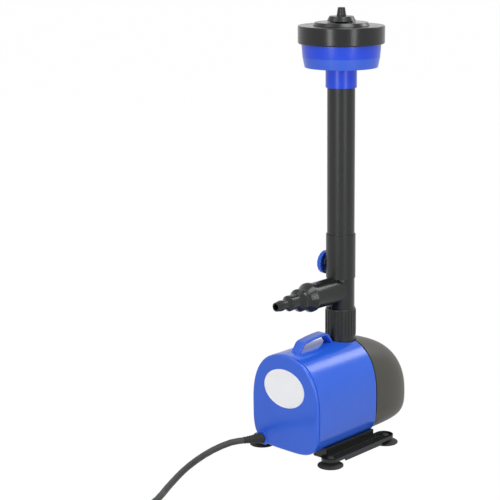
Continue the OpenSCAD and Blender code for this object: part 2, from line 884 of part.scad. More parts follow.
// Branch piece: the run turns in the outlet pipe, its arm points to the front
module branch_piece() {
    arm_bore_r = arm_r - arm_wall;
    color("#2a2b2c") at_pipe() difference() {
        union() {
            translate([0, 0, run_foot_z]) cylinder(r = run_r, h = sleeve_bottom - run_foot_z);
            translate([0, 0, run_foot_z]) cylinder(r = spigot_r, h = sleeve_bottom + spigot_l - run_foot_z);
            difference() {
                translate([0, 0, branch_z]) bar_y(arm_r, -arm_reach, 0);
                translate([0, 0, sleeve_bottom]) cylinder(r = sleeve_r + seat_fit, h = arm_r);
            }
        }
        translate([0, 0, run_foot_z - over]) cylinder(r = water_r, h = sleeve_top - run_foot_z);
        translate([0, 0, branch_z]) bar_y(arm_bore_r, -arm_reach - over, 0);
        tube(run_r + over, run_r - groove_d, seal_z, seal_z + groove_w);
    }
}

module branch_seal() {
    color("black") at_pipe() tube(run_r, run_r - groove_d, seal_z, seal_z + groove_w);
}

// Distances of the hose tail's steps from the pipe's axis
flare_y = arm_reach + shoulder_l;
neck_large_y = flare_y + flare_l;
land_large_y = neck_large_y + neck_large_l;
cone_large_y = land_large_y + land_l;
neck_middle_y = cone_large_y + cone_large_l;
land_middle_y = neck_middle_y + neck_middle_l;
cone_middle_y = land_middle_y + land_l;
neck_small_y = cone_middle_y + cone_middle_l;
cone_small_y = tail_reach - tip_l;
land_small_y = cone_small_y - land_l;
tail_plug_r = arm_r - arm_wall - run_fit;
tail_groove_y = arm_reach - tail_plug_l / 2;

// Stepped hose tail for three sizes of hose, with a land and a cone at each step
module hose_tail() {
    ring_pitch = neck_large_l / thread_rings;
    color("#2c2d2e") at_pipe() translate([0, 0, branch_z]) difference() {
        union() {
            turned_front([[0, arm_reach - tail_plug_l], [tail_plug_r, arm_reach - tail_plug_l],
                [tail_plug_r, tail_groove_y], [tail_plug_r - groove_d, tail_groove_y],
                [tail_plug_r - groove_d, tail_groove_y + groove_w], [tail_plug_r, tail_groove_y + groove_w],
                [tail_plug_r, arm_reach], [shoulder_r, arm_reach], [shoulder_r, flare_y],
                [neck_large_r, neck_large_y], [neck_large_r, land_large_y], [barb_large_r, land_large_y],
                [barb_large_r, cone_large_y], [neck_middle_r, neck_middle_y], [neck_middle_r, land_middle_y],
                [barb_middle_r, land_middle_y], [barb_middle_r, cone_middle_y], [neck_small_r, neck_small_y],
                [neck_small_r, land_small_y], [barb_small_r, land_small_y], [barb_small_r, cone_small_y],
                [tip_r, tail_reach], [0, tail_reach]]);
            for (i = [0 : thread_rings - 1]) translate([0, -neck_large_y - (i + 0.5) * ring_pitch, 0])
                bar_y(neck_large_r + thread_ring_h, -thread_ring_w / 2, thread_ring_w / 2);
        }
        bar_y(tail_bore_r, -tail_reach - over, 0);
        bar_y(barb_middle_r, -neck_large_y, 0);
    }
}

module tail_seal() {
    color("black") at_pipe() translate([0, 0, branch_z]) difference() {
        bar_y(tail_plug_r, -tail_groove_y - groove_w, -tail_groove_y);
        bar_y(tail_plug_r - groove_d, -tail_groove_y - groove_w - over, over - tail_groove_y);
    }
}

seat_z = sleeve_bottom + spigot_l + seal_t;
pivot_r = stem_bore_r / 2;
pivot_l = (sleeve_r + water_r) / 2;

// Regulator sleeve: sockets at both ends, a bore for the vane and a boss for its stem
module sleeve() {
    color("#2f3031") at_pipe() difference() {
        union() {
            translate([0, 0, sleeve_bottom]) cylinder(r = sleeve_r, h = sleeve_top - sleeve_bottom);
            translate([0, 0, knob_z]) bar_x(boss_r, -boss_reach, 0);
        }
        translate([0, 0, sleeve_bottom - over]) cylinder(r = water_r, h = sleeve_top);
        translate([0, 0, sleeve_bottom - over])
            cylinder(r = spigot_r + run_fit, h = seat_z - sleeve_bottom + over);
        translate([0, 0, socket_z]) cylinder(r = socket_r, h = sleeve_top);
        translate([0, 0, knob_z]) bar_x(stem_bore_r + run_fit, -boss_reach - over, 0);
        translate([0, 0, knob_z]) bar_x(pivot_r + run_fit, 0, pivot_l + seat_fit);
    }
}

module sleeve_seal() {
    color("black") at_pipe() tube(spigot_r - run_fit, water_r, seat_z - seal_t, seat_z);
}

knob_floor_x = knob_reach + knob_t - knob_wall;

// Butterfly vane with its stem through the boss; at rest it stands open, edge on to the flow
module valve_vane() {
    peg = stem_bore_r * sqrt(2);
    color("gray") at_pipe() translate([0, 0, knob_z]) difference() {
        union() {
            bar_y(water_r - vane_clear, -vane_t / 2, vane_t / 2);
            bar_x(stem_bore_r, -boss_reach - seat_fit - over, 0);
            bar_x(knob_hub_r, -knob_floor_x, -boss_reach - seat_fit);
            bar_x(pivot_r, 0, pivot_l);
            translate([-knob_floor_x - knob_wall / 2, -peg / 2, -peg / 2]) cube([knob_wall, peg, peg]);
        }
        bar_x(screw_r, -knob_floor_x - knob_wall, -knob_floor_x + screw_grip);
    }
}

// Cup-shaped knob, open towards the sleeve, with a grip of small flutes
module valve_knob() {
    peg = stem_bore_r * sqrt(2) + seat_fit / 2;
    color("royalblue") at_pipe() translate([0, 0, knob_z]) difference() {
        bar_x(knob_r, -knob_reach - knob_t, -knob_reach);
        bar_x(knob_r - knob_wall, -knob_floor_x, -knob_reach + over);
        for (i = [0 : knob_grips - 1]) rotate([360 * i / knob_grips, 0, 0]) translate([0, 0, knob_r])
            bar_x(knob_grip_r, -knob_reach - knob_t - over, -knob_reach + over);
        translate([-knob_floor_x - knob_wall / 2, -peg / 2, -peg / 2]) cube([knob_wall, peg, peg]);
        bar_x(screw_r + seat_fit, -knob_reach - knob_t - over, -knob_floor_x);
        bar_x(screw_head_r + seat_fit, -knob_reach - knob_t - over, -knob_floor_x - knob_wall / 2);
    }
}

module knob_screw() {
    head_x = -knob_floor_x - knob_wall / 2;
    color("silver") at_pipe() translate([0, 0, knob_z]) difference() {
        union() {
            bar_x(screw_r, head_x, head_x + screw_grip);
            bar_x(screw_head_r, head_x - knob_wall / 2, head_x);
        }
        translate([head_x - knob_wall, -screw_head_r, -screw_r / 4])
            cube([knob_wall * 3 / 4, 2 * screw_head_r, screw_r / 2]);
    }
}

riser_seal_z = riser_foot_z + 2 * groove_w;

// Riser: a plain tube held in the sleeve by its seal, so that it can be drawn out for height
module riser_pipe() {
    color("#2b2c2d") at_pipe() difference() {
        tube(riser_r, riser_r - riser_wall, riser_foot_z, riser_top);
        tube(riser_r + over, riser_r - groove_d, riser_seal_z, riser_seal_z + groove_w);
    }
}

module riser_seal() {
    color("black") at_pipe() tube(riser_r, riser_r - groove_d, riser_seal_z, riser_seal_z + groove_w);
}

lip_r = bowl_r - bowl_wall;
lip_top = cap_top - cap_plate;

// Spray bowl: neck on the riser, a flat floor, flared side and a lip that plugs into the cap
module spray_bowl() {
    foot_r = bowl_r * bowl_foot_share;
    break_r = bowl_r * bowl_break_share;
    floor_z = bowl_z + bowl_wall;
    color("royalblue") at_pipe() rotate_extrude() polygon([
        [socket_r, neck_z], [neck_r, neck_z], [neck_r, bowl_z], [foot_r, bowl_z],
        [break_r, bowl_z + bowl_break_z], [bowl_r, cap_z - seal_t], [bowl_r, cap_z],
        [lip_r, cap_z], [lip_r, lip_top], [lip_r - bowl_wall, lip_top],
        [lip_r - bowl_wall, cap_z - seal_t], [break_r - bowl_wall, bowl_z + bowl_break_z],
        [foot_r - bowl_wall, floor_z], [riser_r - riser_wall, floor_z], [riser_r - riser_wall, riser_top],
        [socket_r, riser_top]]);
}

cap_inner_r = bowl_r + seat_fit;

// Cap: a wide skirt over the bowl's lip and a top plate with a ring of spray holes
module spray_cap() {
    hole_ring_r = (ring_r + cap_r) / 2 - spray_gap;
    color("#343536") at_pipe() difference() {
        rotate_extrude() polygon([
            [cap_inner_r, cap_z], [cap_r - cap_chamfer / 2, cap_z], [cap_r, cap_z + cap_chamfer],
            [cap_r, cap_top - cap_chamfer / 4], [cap_r - cap_chamfer / 4, cap_top], [collar_r, cap_top],
            [collar_r, lip_top], [cap_inner_r, lip_top]]);
        ribs(2 * knob_grips, spray_gap / 2, hole_ring_r, lip_top - over, cap_top + over);
    }
}

module cap_seal() {
    color("black") at_pipe() tube(bowl_r, lip_r + run_fit, cap_z, cap_z + seal_t);
}

ring_z = cap_top;
collar_z = ring_z + ring_h + ring_gap;
hub_bore_r = stalk_r / 2;

// Lower spray ring: it plugs into the cap, and spokes carry a hub for the tip's stalk
module spray_ring() {
    plug_r = collar_r - run_fit;
    inner_r = collar_r - cap_wall;
    color("#303132") at_pipe() difference() {
        union() {
            difference() {
                rotate_extrude() polygon([[0, lip_top], [plug_r, lip_top], [plug_r, ring_z], [ring_r, ring_z],
                    [ring_r * ring_top_share, ring_z + ring_h], [0, ring_z + ring_h]]);
                translate([0, 0, lip_top - over]) cylinder(r = inner_r, h = ring_h + cap_plate + 2 * over);
            }
            for (i = [0 : spokes - 1]) rotate(360 * i / spokes)
                translate([0, -spoke_w / 2, lip_top]) cube([inner_r + over, spoke_w, cap_plate]);
            translate([0, 0, lip_top]) cylinder(r = stalk_r, h = collar_z - lip_top);
        }
        translate([0, 0, lip_top - over]) cylinder(r = hub_bore_r, h = collar_z);
    }
}

// Upper collar: it throws the water from the slot below it outwards
module spray_collar() {
    color("#2d2e2f") at_pipe() difference() {
        translate([0, 0, collar_z]) cylinder(r1 = collar_r, r2 = collar_r * collar_top_share, h = collar_h);
        translate([0, 0, collar_z - over]) cylinder(r = hub_bore_r, h = collar_h + 2 * over);
    }
}

// Tip: a fluted nozzle on a hollow stalk that clamps the collar to the hub
module spray_tip() {
    tip_z = collar_z + collar_h;
    color("#3a3b3c") at_pipe() difference() {
        union() {
            translate([0, 0, tip_z]) cylinder(r1 = tip_foot_r, r2 = tip_top_r, h = tip_h);
            translate([0, 0, lip_top]) cylinder(r = hub_bore_r, h = tip_z - lip_top);
        }
        translate([0, 0, lip_top - over]) cylinder(r = hub_bore_r / 2, h = total_h);
        ribs(tip_flutes, spray_gap / 3, tip_foot_r, tip_z - over, tip_z + tip_h / 2);
    }
}

// Tube along a list of points; each has the heading of the stretch between its neighbours
function unit(v) = v / norm(v);
function headings(points, first, last) = [for (i = [0 : len(points) - 1])
    i == 0 ? first : i == len(points) - 1 ? last : unit(points[i + 1] - points[i - 1])];
function tube_ring(p, t, r, sides) =
    let (left = unit([-t[1], t[0], 0]), up = cross(t, left))
    [for (i = [0 : sides - 1]) let (a = 360 * (i + 0.5) / sides) p + r * (cos(a) * left + sin(a) * up)];

module sweep(points, first, last, r, sides) {
    t = headings(points, first, last);
    skin([for (i = [0 : len(points) - 1]) tube_ring(points[i], t[i], r, sides)]);
}

// Coil: layers wound in and out at a steady rate, each climb spread over half a turn
all_turns = coil_layers * coil_turns;
coil_rings = round(all_turns * loop_rings);
function layer_of(t) = min(floor(t / coil_turns), coil_layers);
function coil_r(t) =
    let (n = layer_of(t), part = t - n * coil_turns)
    coil_out_r - coil_pitch * (n % 2 == 0 ? part : coil_turns - part);
function climb(u) = (1 - cos(180 * min(max(u, 0), 1))) / 2;
function coil_lift(t, n = 1) = n == coil_layers ? 0
    : coil_pitch * climb(2 * (t - n * coil_turns) + 0.5) + coil_lift(t, n + 1);
function coil_point(t) =
    let (a = coil_start_a + 360 * t)
    coil_middle + [coil_r(t) * cos(a), coil_r(t) * sin(a), cord_r + coil_lift(t)];
coil_points = [for (k = [0 : coil_rings]) coil_point(all_turns * k / coil_rings)];
coil_first = [sin(-coil_start_a), cos(coil_start_a), 0];
coil_last = [0, 1, 0];

// Least gap of the coil to itself, taken where the turns pass each other
function turn_gap(t, m) = norm([coil_r(t + m) - coil_r(t), coil_lift(t + m) - coil_lift(t)]) - cord_d;
least_gap = min([for (k = [0 : coil_rings]) for (m = [1 : floor(all_turns)])
    let (t = all_turns * k / coil_rings) if (t + m <= all_turns) turn_gap(t, m)]);
echo(least_gap = least_gap);

module cord() {
    points = concat([gland_tip, gland_tip + cord_d * gland_way], cord_route,
        [coil_points[0] - cord_d * coil_first, coil_points[0]]);
    color("#3c3c3a") at_pipe() sweep(points, gland_way, coil_first, cord_r, cord_sides);
}

module cord_coil() {
    color("#3c3c3a") at_pipe() sweep(coil_points, coil_first, coil_last, cord_r, coil_sides);
}

tail_foot = coil_points[coil_rings];
tail_drop = tail_foot[2] - plug_r;
plug_x = tail_foot[0] - tail_in;

// Lead from the coil down to the plug, level for one diameter at both ends
module cord_tail() {
    bend_l = tail_l - 2 * cord_d;
    points = concat([tail_foot],
        [for (i = [0 : tail_rings]) let (share = climb(i / tail_rings))
            tail_foot + [-tail_in * share, cord_d + bend_l * i / tail_rings, -tail_drop * share]],
        [tail_foot + [-tail_in, tail_l, -tail_drop]]);
    color("#3c3c3a") at_pipe() sweep(points, coil_last, coil_last, cord_r, cord_sides);
}

// Strap round the coil's section
module cord_tie() {
    inner = coil_mean_share * cord_d - coil_pitch * coil_turns / 2 - cord_r - 2 * tie_t;
    outer = coil_out_r + cord_r + tie_t / 2;
    stack = coil_pitch * (coil_layers - 1) + cord_d + seat_fit;
    foot = coil_middle[2] - seat_fit;
    color("#202020") at_pipe() translate([coil_middle[0], coil_middle[1], foot]) rotate(tie_a) difference() {
        translate([inner, -tie_w / 2, -tie_t])
            cube([outer - inner + tie_t, tie_w, stack + 2 * tie_t + seat_fit]);
        translate([inner + tie_t, -tie_w, 0]) cube([outer - inner - tie_t, 2 * tie_w, stack + seat_fit]);
    }
}

plug_y = tail_foot[1] + tail_l;
plug_face_y = plug_y + relief_l + plug_l;

// Plug: strain relief, shoulder, round body and a groove on each side for the earth springs
module plug_body() {
    color("#1d1d1d") at_pipe() translate([plug_x, 0, plug_r]) difference() {
        mirror([0, 1, 0]) turned_front([
            [0, plug_y], [relief_foot_r, plug_y], [relief_top_r, plug_y + relief_l],
            [plug_r, plug_y + relief_l + plug_shoulder_l], [plug_r, plug_face_y], [0, plug_face_y]]);
        for (s = [-1, 1])
            translate([-earth_w / 2, plug_y + relief_l + 2 * plug_shoulder_l, s * plug_r - earth_d])
            cube([earth_w, plug_l, 2 * earth_d]);
        for (s = [-1, 1]) translate([s * pin_gap / 2, 0, 0])
            bar_y(pin_root_r, plug_face_y - pin_root, plug_face_y + over);
    }
}

module plug_pins() {
    color("silver") at_pipe() translate([plug_x, 0, plug_r]) for (s = [-1, 1])
        translate([s * pin_gap / 2, 0, 0]) {
            bar_y(pin_r, plug_face_y, plug_face_y + pin_l);
            bar_y(pin_root_r, plug_face_y - pin_root, plug_face_y);
        }
}

housing();
front_cover();
label();
cable_gland();
potting();
stator_core();
bobbins();
windings();
rotor_can();
shaft();
front_bush();
rotor_magnet();
impeller();
rear_bush();
pump_chamber();
chamber_seal();
chamber_lid();
chamber_screws();
strainer();
left_rail();
right_rail();
suction_cups();
outlet_pipe();
branch_piece();
branch_seal();
hose_tail();
tail_seal();
sleeve();
sleeve_seal();
valve_vane();
valve_knob();
knob_screw();
riser_pipe();
riser_seal();
spray_bowl();
spray_cap();
cap_seal();
spray_ring();
spray_collar();
spray_tip();
cord();
cord_coil();
cord_tail();
cord_tie();
plug_body();
plug_pins();
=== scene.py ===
# %% [markdown]
# # Fountain pump
# This lesson dresses the exact model of a small fountain pump. The exact model keeps every piece at its real
# size and place. Each visible shell is modelled again here with rounded edges, smooth shading and a finish.

# %% Load the exact model
from math import copysign, cos, degrees, pi, radians, sin

import bpy
from mathutils import Matrix, Vector


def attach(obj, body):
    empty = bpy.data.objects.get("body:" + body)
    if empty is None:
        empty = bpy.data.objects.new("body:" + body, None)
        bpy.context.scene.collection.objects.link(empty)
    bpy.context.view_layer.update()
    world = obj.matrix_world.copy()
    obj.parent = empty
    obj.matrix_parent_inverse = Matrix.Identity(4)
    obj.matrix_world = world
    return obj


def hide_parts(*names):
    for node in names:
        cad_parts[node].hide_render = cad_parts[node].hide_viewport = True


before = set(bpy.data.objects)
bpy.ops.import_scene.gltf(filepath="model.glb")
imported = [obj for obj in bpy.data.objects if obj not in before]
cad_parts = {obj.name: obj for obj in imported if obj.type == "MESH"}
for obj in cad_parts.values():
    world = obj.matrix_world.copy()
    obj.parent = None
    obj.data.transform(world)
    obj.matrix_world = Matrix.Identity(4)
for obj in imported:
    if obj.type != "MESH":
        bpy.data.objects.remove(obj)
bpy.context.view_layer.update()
MM = 0.001

# %% [markdown]
# The camera comes first, because everything is judged through it. It looks down on the pump from the front
# right, from about a metre and a half away with a long lens. The lens is given by its focal length in
# pixels, and a small shift puts the pump right of the middle.

# %% Camera
PIPE_Y = 12.827                    # the riser's axis lies this far behind the frame's origin, in mm
PICTURE_SIDE = 500.0
FOCAL_PIXELS = 1440.0
AXIS_PIXEL = (305.79, 246.25)      # where the lens's axis meets the picture
AZIMUTH, PITCH, ROLL = 41.711, 13.163, -0.160
EYE = Vector((992.7, -1171.3 + PIPE_Y, 578.8)) * MM
SENSOR = 36.0


def add_camera():
    """A camera whose frame is turned by azimuth, pitch and roll, built from its three axes."""
    a, p, r = (radians(v) for v in (AZIMUTH, PITCH, ROLL))
    back = Vector((sin(a) * cos(p), -cos(a) * cos(p), sin(p)))
    right = Vector((cos(a), sin(a), 0.0))
    up = back.cross(right)
    turned_right = cos(r) * right + sin(r) * up
    turned_up = back.cross(turned_right)
    bpy.ops.object.camera_add(location=EYE)
    camera = bpy.context.object
    axes = Matrix((turned_right, turned_up, back)).transposed()
    camera.rotation_euler = axes.to_euler()
    camera.data.sensor_width = SENSOR
    camera.data.lens = FOCAL_PIXELS / PICTURE_SIDE * SENSOR
    camera.data.shift_x = (PICTURE_SIDE / 2 - AXIS_PIXEL[0]) / PICTURE_SIDE
    camera.data.shift_y = (AXIS_PIXEL[1] - PICTURE_SIDE / 2) / PICTURE_SIDE
    camera.data.dof.use_dof = False
    return camera


bpy.context.scene.camera = add_camera()
bpy.context.scene.view_settings.view_transform = "Standard"
print("lens", round(bpy.context.scene.camera.data.lens, 2), "mm")

# %% [markdown]
# Shader sums are easier to read as arithmetic. One small class wraps an output socket, so that an expression
# such as 1 - mask adds its own Math node. A second class holds one material and makes any other node.


# %% Shader arithmetic
class Flow:
    """A value that runs through a material: an output socket with arithmetic."""

    def __init__(self, finish, socket):
        self.finish, self.socket = finish, socket

    def _math(self, kind, *values):
        return self.finish.node("ShaderNodeMath", {"operation": kind}, *values)

    def __add__(self, other):
        return self._math("ADD", self, other)

    __radd__ = __add__

    def __rsub__(self, other):
        return self._math("SUBTRACT", other, self)

    def __mul__(self, other):
        return self._math("MULTIPLY", self, other)

    __rmul__ = __mul__

    def sine(self):
        return self._math("SINE", self)

    def smooth(self, low, high):
        """0 below low, 1 above high and a soft step between."""
        return self.finish.node("ShaderNodeMapRange", {"interpolation_type": "SMOOTHSTEP"}, self, low, high)


def linear(red, green, blue):
    """A colour as it is seen on screen, 0 to 255, as Blender's linear colour."""
    return [*(v / 255 / 12.92 if v <= 10 else ((v / 255 + 0.055) / 1.055) ** 2.4
              for v in (red, green, blue)), 1.0]


COLOUR_A, COLOUR_B, COLOUR_OUT = 6, 7, 2          # the colour sockets of a Mix node, by their order


class Finish:
    """One material and the nodes in it."""

    def __init__(self, name, **constants):
        self.material = bpy.data.materials.new(name)
        self.material.use_nodes = True
        self.tree = self.material.node_tree
        self.shader = self.tree.nodes["Principled BSDF"]
        for socket, value in constants.items():
            self.shader.inputs[socket.replace("_", " ")].default_value = value
        self.place = self.node("ShaderNodeTexCoord", {}, output="Object")

    def node(self, kind, settings, *values, output=0, **named):
        """Adds a node, sets it up, fills or links its inputs and returns one output."""
        made = self.tree.nodes.new(kind)
        for key, value in settings.items():
            setattr(made, key, value)
        given = list(zip(made.inputs, values)) + [(made.inputs[k.replace("_", " ")], v)
                                                  for k, v in named.items()]
        for socket, value in given:
            self.feed(socket, value)
        return Flow(self, made.outputs[output])

    def feed(self, socket, value):
        if isinstance(value, Flow):
            self.tree.links.new(value.socket, socket)
        elif value is not None:
            socket.default_value = value

    def noise(self, scale, detail=2.0, roughness=0.5, place=None):
        return self.node("ShaderNodeTexNoise", {}, output="Fac", Vector=place or self.place,
                         Scale=scale, Detail=detail, Roughness=roughness)

    def mix(self, factor, first, second):
        """A colour between two colours, each a Flow or a colour as it is seen on screen."""
        made = self.tree.nodes.new("ShaderNodeMix")
        made.data_type = "RGBA"
        self.feed(made.inputs["Factor"], factor)
        for place, colour in ((COLOUR_A, first), (COLOUR_B, second)):
            self.feed(made.inputs[place], colour if isinstance(colour, Flow) else linear(*colour))
        return Flow(self, made.outputs[COLOUR_OUT])

    def axis(self, name):
        return self.node("ShaderNodeSeparateXYZ", {}, self.place, output=name)

    def relief(self, height, distance):
        """Bumps as high as the distance, in metres."""
        return self.node("ShaderNodeBump", {}, output="Normal", Height=height,
                         Distance=distance, Strength=1.0)

    def show(self, **sockets):
        for name, value in sockets.items():
            self.feed(self.shader.inputs[name.replace("_", " ")], value)
        return self.material


# %% [markdown]
# Moulded plastic is never one flat colour. The gloss of the blue shells wanders a little where hands and
# the mould's polish differ, and their surface has a faint orange peel. The black fittings carry a fine
# spark-eroded grain. Each plastic is one function of its colour, so that the same one can be made paler, and
# the bowl has painted shade above and below one band of heights, for the shadow that the cap's rim casts on
# it and the shade under the bowl.


# %% Plastics and rubber
def glossy_plastic(name, colour, worn, roughness=0.16, peel=0.00008, painted_shade=None):
    f = Finish(name, IOR=1.5)
    cloud = f.noise(14.0, 3.0)
    smear = f.noise(55.0, 4.0, 0.65)
    scuff = f.noise(420.0, 3.0, 0.7).smooth(0.60, 0.72) * smear.smooth(0.50, 0.66)
    body = f.mix(cloud * 0.35, colour, worn)
    if painted_shade:                       # painted shade outside one band of heights, for the shadow under the cap's rim
        painted_shade_colour, *edges = painted_shade
        height = f.axis("Z")
        unshaded_band = height.smooth(*edges[:2]) * (1 - height.smooth(*edges[2:]))
        # painted shade: outside the band the colour is darkened for the shadow under the cap's rim and under
        # the bowl
        body = f.mix(unshaded_band, painted_shade_colour, body)
    peeled = f.noise(210.0, 1.0) + 0.35 * f.noise(900.0, 1.0)
    return f.show(Base_Color=f.mix(scuff * 0.30, body, worn),
                  Roughness=roughness + 0.09 * smear + 0.16 * scuff,
                  Normal=f.relief(peeled, peel))


def satin_plastic(name, colour, worn, roughness=0.42, grain=0.00006, streak=False):
    f = Finish(name, IOR=1.42)
    cloud = f.noise(22.0, 3.0)
    fine = f.noise(1500.0, 2.0, 0.6)
    speck = f.noise(650.0, 2.0, 0.7).smooth(0.62, 0.70)
    if streak:
        stretched = f.node("ShaderNodeMapping", {}, f.place, output="Vector", Scale=(1.0, 1.0, 0.06))
        flow = f.noise(160.0, 3.0, 0.6, stretched)
        cloud = 0.4 * cloud + 0.6 * flow
    body = f.mix(cloud * 0.55, colour, worn)
    return f.show(Base_Color=f.mix(speck * 0.22, body, worn),
                  Roughness=roughness + 0.12 * cloud + 0.08 * fine,
                  Normal=f.relief(fine + 0.5 * speck, grain))


def soft_rubber(name, colour, worn, roughness=0.62, grain=0.00008):
    f = Finish(name, IOR=1.45)
    dust = f.noise(60.0, 4.0, 0.6)
    fine = f.noise(1900.0, 2.0, 0.6)
    return f.show(Base_Color=f.mix(dust.smooth(0.42, 0.74) * 0.6, colour, worn),
                  Roughness=roughness + 0.15 * dust,
                  Normal=f.relief(fine, grain))


blue_plastic = glossy_plastic("blue_plastic", (26, 85, 205), (54, 109, 219))
BOWL_UNSHADED_BAND = (0.4154, 0.4158, 0.4264, 0.4272)       # the bowl keeps its own colour between these heights, in metres, and has painted shade outside them
# the colour of the bowl's painted shade, which stands for the shadow under the cap's rim
BOWL_PAINTED_SHADE = (8, 66, 214)
bowl_plastic = glossy_plastic("bowl_plastic", (43, 88, 206), (63, 106, 218),
                              roughness=0.27, painted_shade=(BOWL_PAINTED_SHADE, *BOWL_UNSHADED_BAND))
black_plastic = satin_plastic("black_plastic", (15, 16, 17), (36, 37, 37), roughness=0.11)
pipe_plastic = satin_plastic("pipe_plastic", (18, 20, 20), (40, 41, 39), roughness=0.25, streak=True)
strainer_plastic = satin_plastic("strainer_plastic", (54, 53, 47), (76, 75, 68), roughness=0.36)
grey_plastic = satin_plastic("grey_plastic", (150, 152, 155), (176, 178, 180), roughness=0.35)
black_rubber = soft_rubber("black_rubber", (26, 26, 26), (48, 48, 46))
lead_rubber = soft_rubber("lead_rubber", (50, 50, 48), (74, 74, 71), roughness=0.50)
plug_rubber = soft_rubber("plug_rubber", (32, 32, 32), (54, 54, 52), roughness=0.48)
strap_plastic = satin_plastic("strap_plastic", (30, 30, 31), (52, 52, 52), roughness=0.4)


def plated_metal(name):
    """Nickel-plated brass with fine scratches from the socket's springs."""
    f = Finish(name, Metallic=1.0)
    stretched = f.node("ShaderNodeMapping", {}, f.place, output="Vector", Scale=(1.0, 0.05, 1.0))
    scratch = f.noise(2600.0, 3.0, 0.7, stretched)
    return f.show(Base_Color=f.mix(scratch * 0.5, (214, 212, 204), (170, 166, 154)),
                  Roughness=0.18 + 0.22 * scratch, Normal=f.relief(scratch, 0.00002))


bright_metal = plated_metal("bright_metal")
print("finishes:", len(bpy.data.materials))

# %% [markdown]
# The lead is one fixed length of round rubber cable. It leaves the gland, sweeps over the ground and out of
# the picture, and the rest is wound as for storage. Its route repeats the exact model's points, so that the
# tube lies where the solids are. The points lie close enough for the turns to look round.

# %% Route of the lead
CORD_R = 3.5
LEAD_ROUTE = [                     # as distances from the pipe's axis, in mm
    (-54.5, -120, 12.6), (-58.5, -130, 10.6), (-60.5, -142, 8.6), (-60.5, -155, 6.8), (-58.5, -169, 5.3),
    (-55, -183, 4.2), (-50, -197, 3.6), (-43.5, -211, 3.5), (-36.5, -225, 3.5), (-29.5, -238.5, 3.5),
    (-22, -252, 3.5), (-15, -266, 3.5), (-10, -280, 3.5), (-8, -295, 3.5), (-9.5, -310, 3.5),
    (-14, -325, 3.5), (-20.5, -340, 3.5), (-28, -355, 3.5), (-36, -370, 3.5), (-43.5, -385, 3.6),
    (-50, -401, 3.8), (-54.5, -418, 4.1), (-57.5, -435, 4.3), (-58.7, -452, 4.4)]
NOSE_TURN, NOSE_DIP, NOSE_L = radians(40.0), radians(5.0), 20.0
FRONT_REACH = 93
FRONT_Y = PIPE_Y - FRONT_REACH     # the front of the cover
GLAND_X, GLAND_Z = -33.5, 15.6
GLAND_FOOT = Vector((GLAND_X, FRONT_Y, GLAND_Z))
nose_way = Vector((-sin(NOSE_TURN) * cos(NOSE_DIP), -cos(NOSE_TURN) * cos(NOSE_DIP),
                   -sin(NOSE_DIP)))
nose_tip = GLAND_FOOT + NOSE_L * nose_way
COIL_MIDDLE = (8.0, PIPE_Y - 478.5, 1.0)
LAYERS, LAYER_TURNS, TURN_PITCH, MEAN_R = 6, 4.75, 7.55, 49.0
OUTER_R = MEAN_R + TURN_PITCH * LAYER_TURNS / 2
START_ANGLE = -360.0 * LAYERS * LAYER_TURNS
POINTS_A_TURN = 24
TAIL_L, TAIL_IN, PLUG_R = 60.0, 6.0, 18.5


def climb(share):
    """0 before the climb, 1 after it and half a cosine wave between."""
    return (1 - cos(pi * min(max(share, 0.0), 1.0))) / 2


def coil_point(turns):
    """A point of the coil, so many turns from its start. The layers are wound in and out in turn."""
    layer = min(int(turns / LAYER_TURNS + 1e-9), LAYERS)
    part = turns - layer * LAYER_TURNS
    radius = OUTER_R - TURN_PITCH * (part if layer % 2 == 0 else LAYER_TURNS - part)
    lift = sum(TURN_PITCH * climb(2 * (turns - n * LAYER_TURNS) + 0.5) for n in range(1, LAYERS))
    angle = radians(START_ANGLE + 360 * turns)
    return (COIL_MIDDLE[0] + radius * cos(angle), COIL_MIDDLE[1] + radius * sin(angle),
            COIL_MIDDLE[2] + CORD_R + lift)


ALL_TURNS = LAYERS * LAYER_TURNS
COIL_STEPS = round(ALL_TURNS * POINTS_A_TURN)
coil = [coil_point(ALL_TURNS * k / COIL_STEPS) for k in range(COIL_STEPS + 1)]
start = coil[0]
heading = (sin(radians(-START_ANGLE)), cos(radians(START_ANGLE)))
before = (start[0] - 2 * CORD_R * heading[0], start[1] - 2 * CORD_R * heading[1], start[2])
end = coil[-1]
drop = end[2] - PLUG_R
bend = TAIL_L - 4 * CORD_R
TAIL_STEPS = 8
tail = [(end[0] - TAIL_IN * climb(k / TAIL_STEPS), end[1] + 2 * CORD_R + bend * k / TAIL_STEPS,
         end[2] - drop * climb(k / TAIL_STEPS)) for k in range(TAIL_STEPS + 1)]
plug_start = (end[0] - TAIL_IN, end[1] + TAIL_L, PLUG_R)
route = [(x, y + PIPE_Y, z) for x, y, z in LEAD_ROUTE]
lead_points = [Vector(p) * MM for p in (nose_tip, nose_tip + 2 * CORD_R * nose_way, *route, before, *coil,
                                        *tail, plug_start)]


# %% [markdown]
# Every operator acts on what is selected, so a helper first leaves edit mode and drops the selection. The
# lead is then drawn as a curve, given its round section and made a mesh.

# %% The lead as a tube
def clear_selection():
    if bpy.context.object and bpy.context.object.mode != "OBJECT":
        bpy.ops.object.mode_set(mode="OBJECT")
    bpy.ops.object.select_all(action="DESELECT")


def give(piece, name, material, body, *nodes, slot):
    """Names a finished piece, paints it and lets it ride on its body in place of its plain nodes."""
    piece.name = name
    piece.data.name = name
    piece.data.materials.clear()
    piece.data.materials.append(material)
    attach(piece, body)
    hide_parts(*nodes)
    size = [round(side / MM, 1) for side in piece.dimensions]
    print(name, "size in mm", size, "faces", len(piece.data.polygons))
    return piece


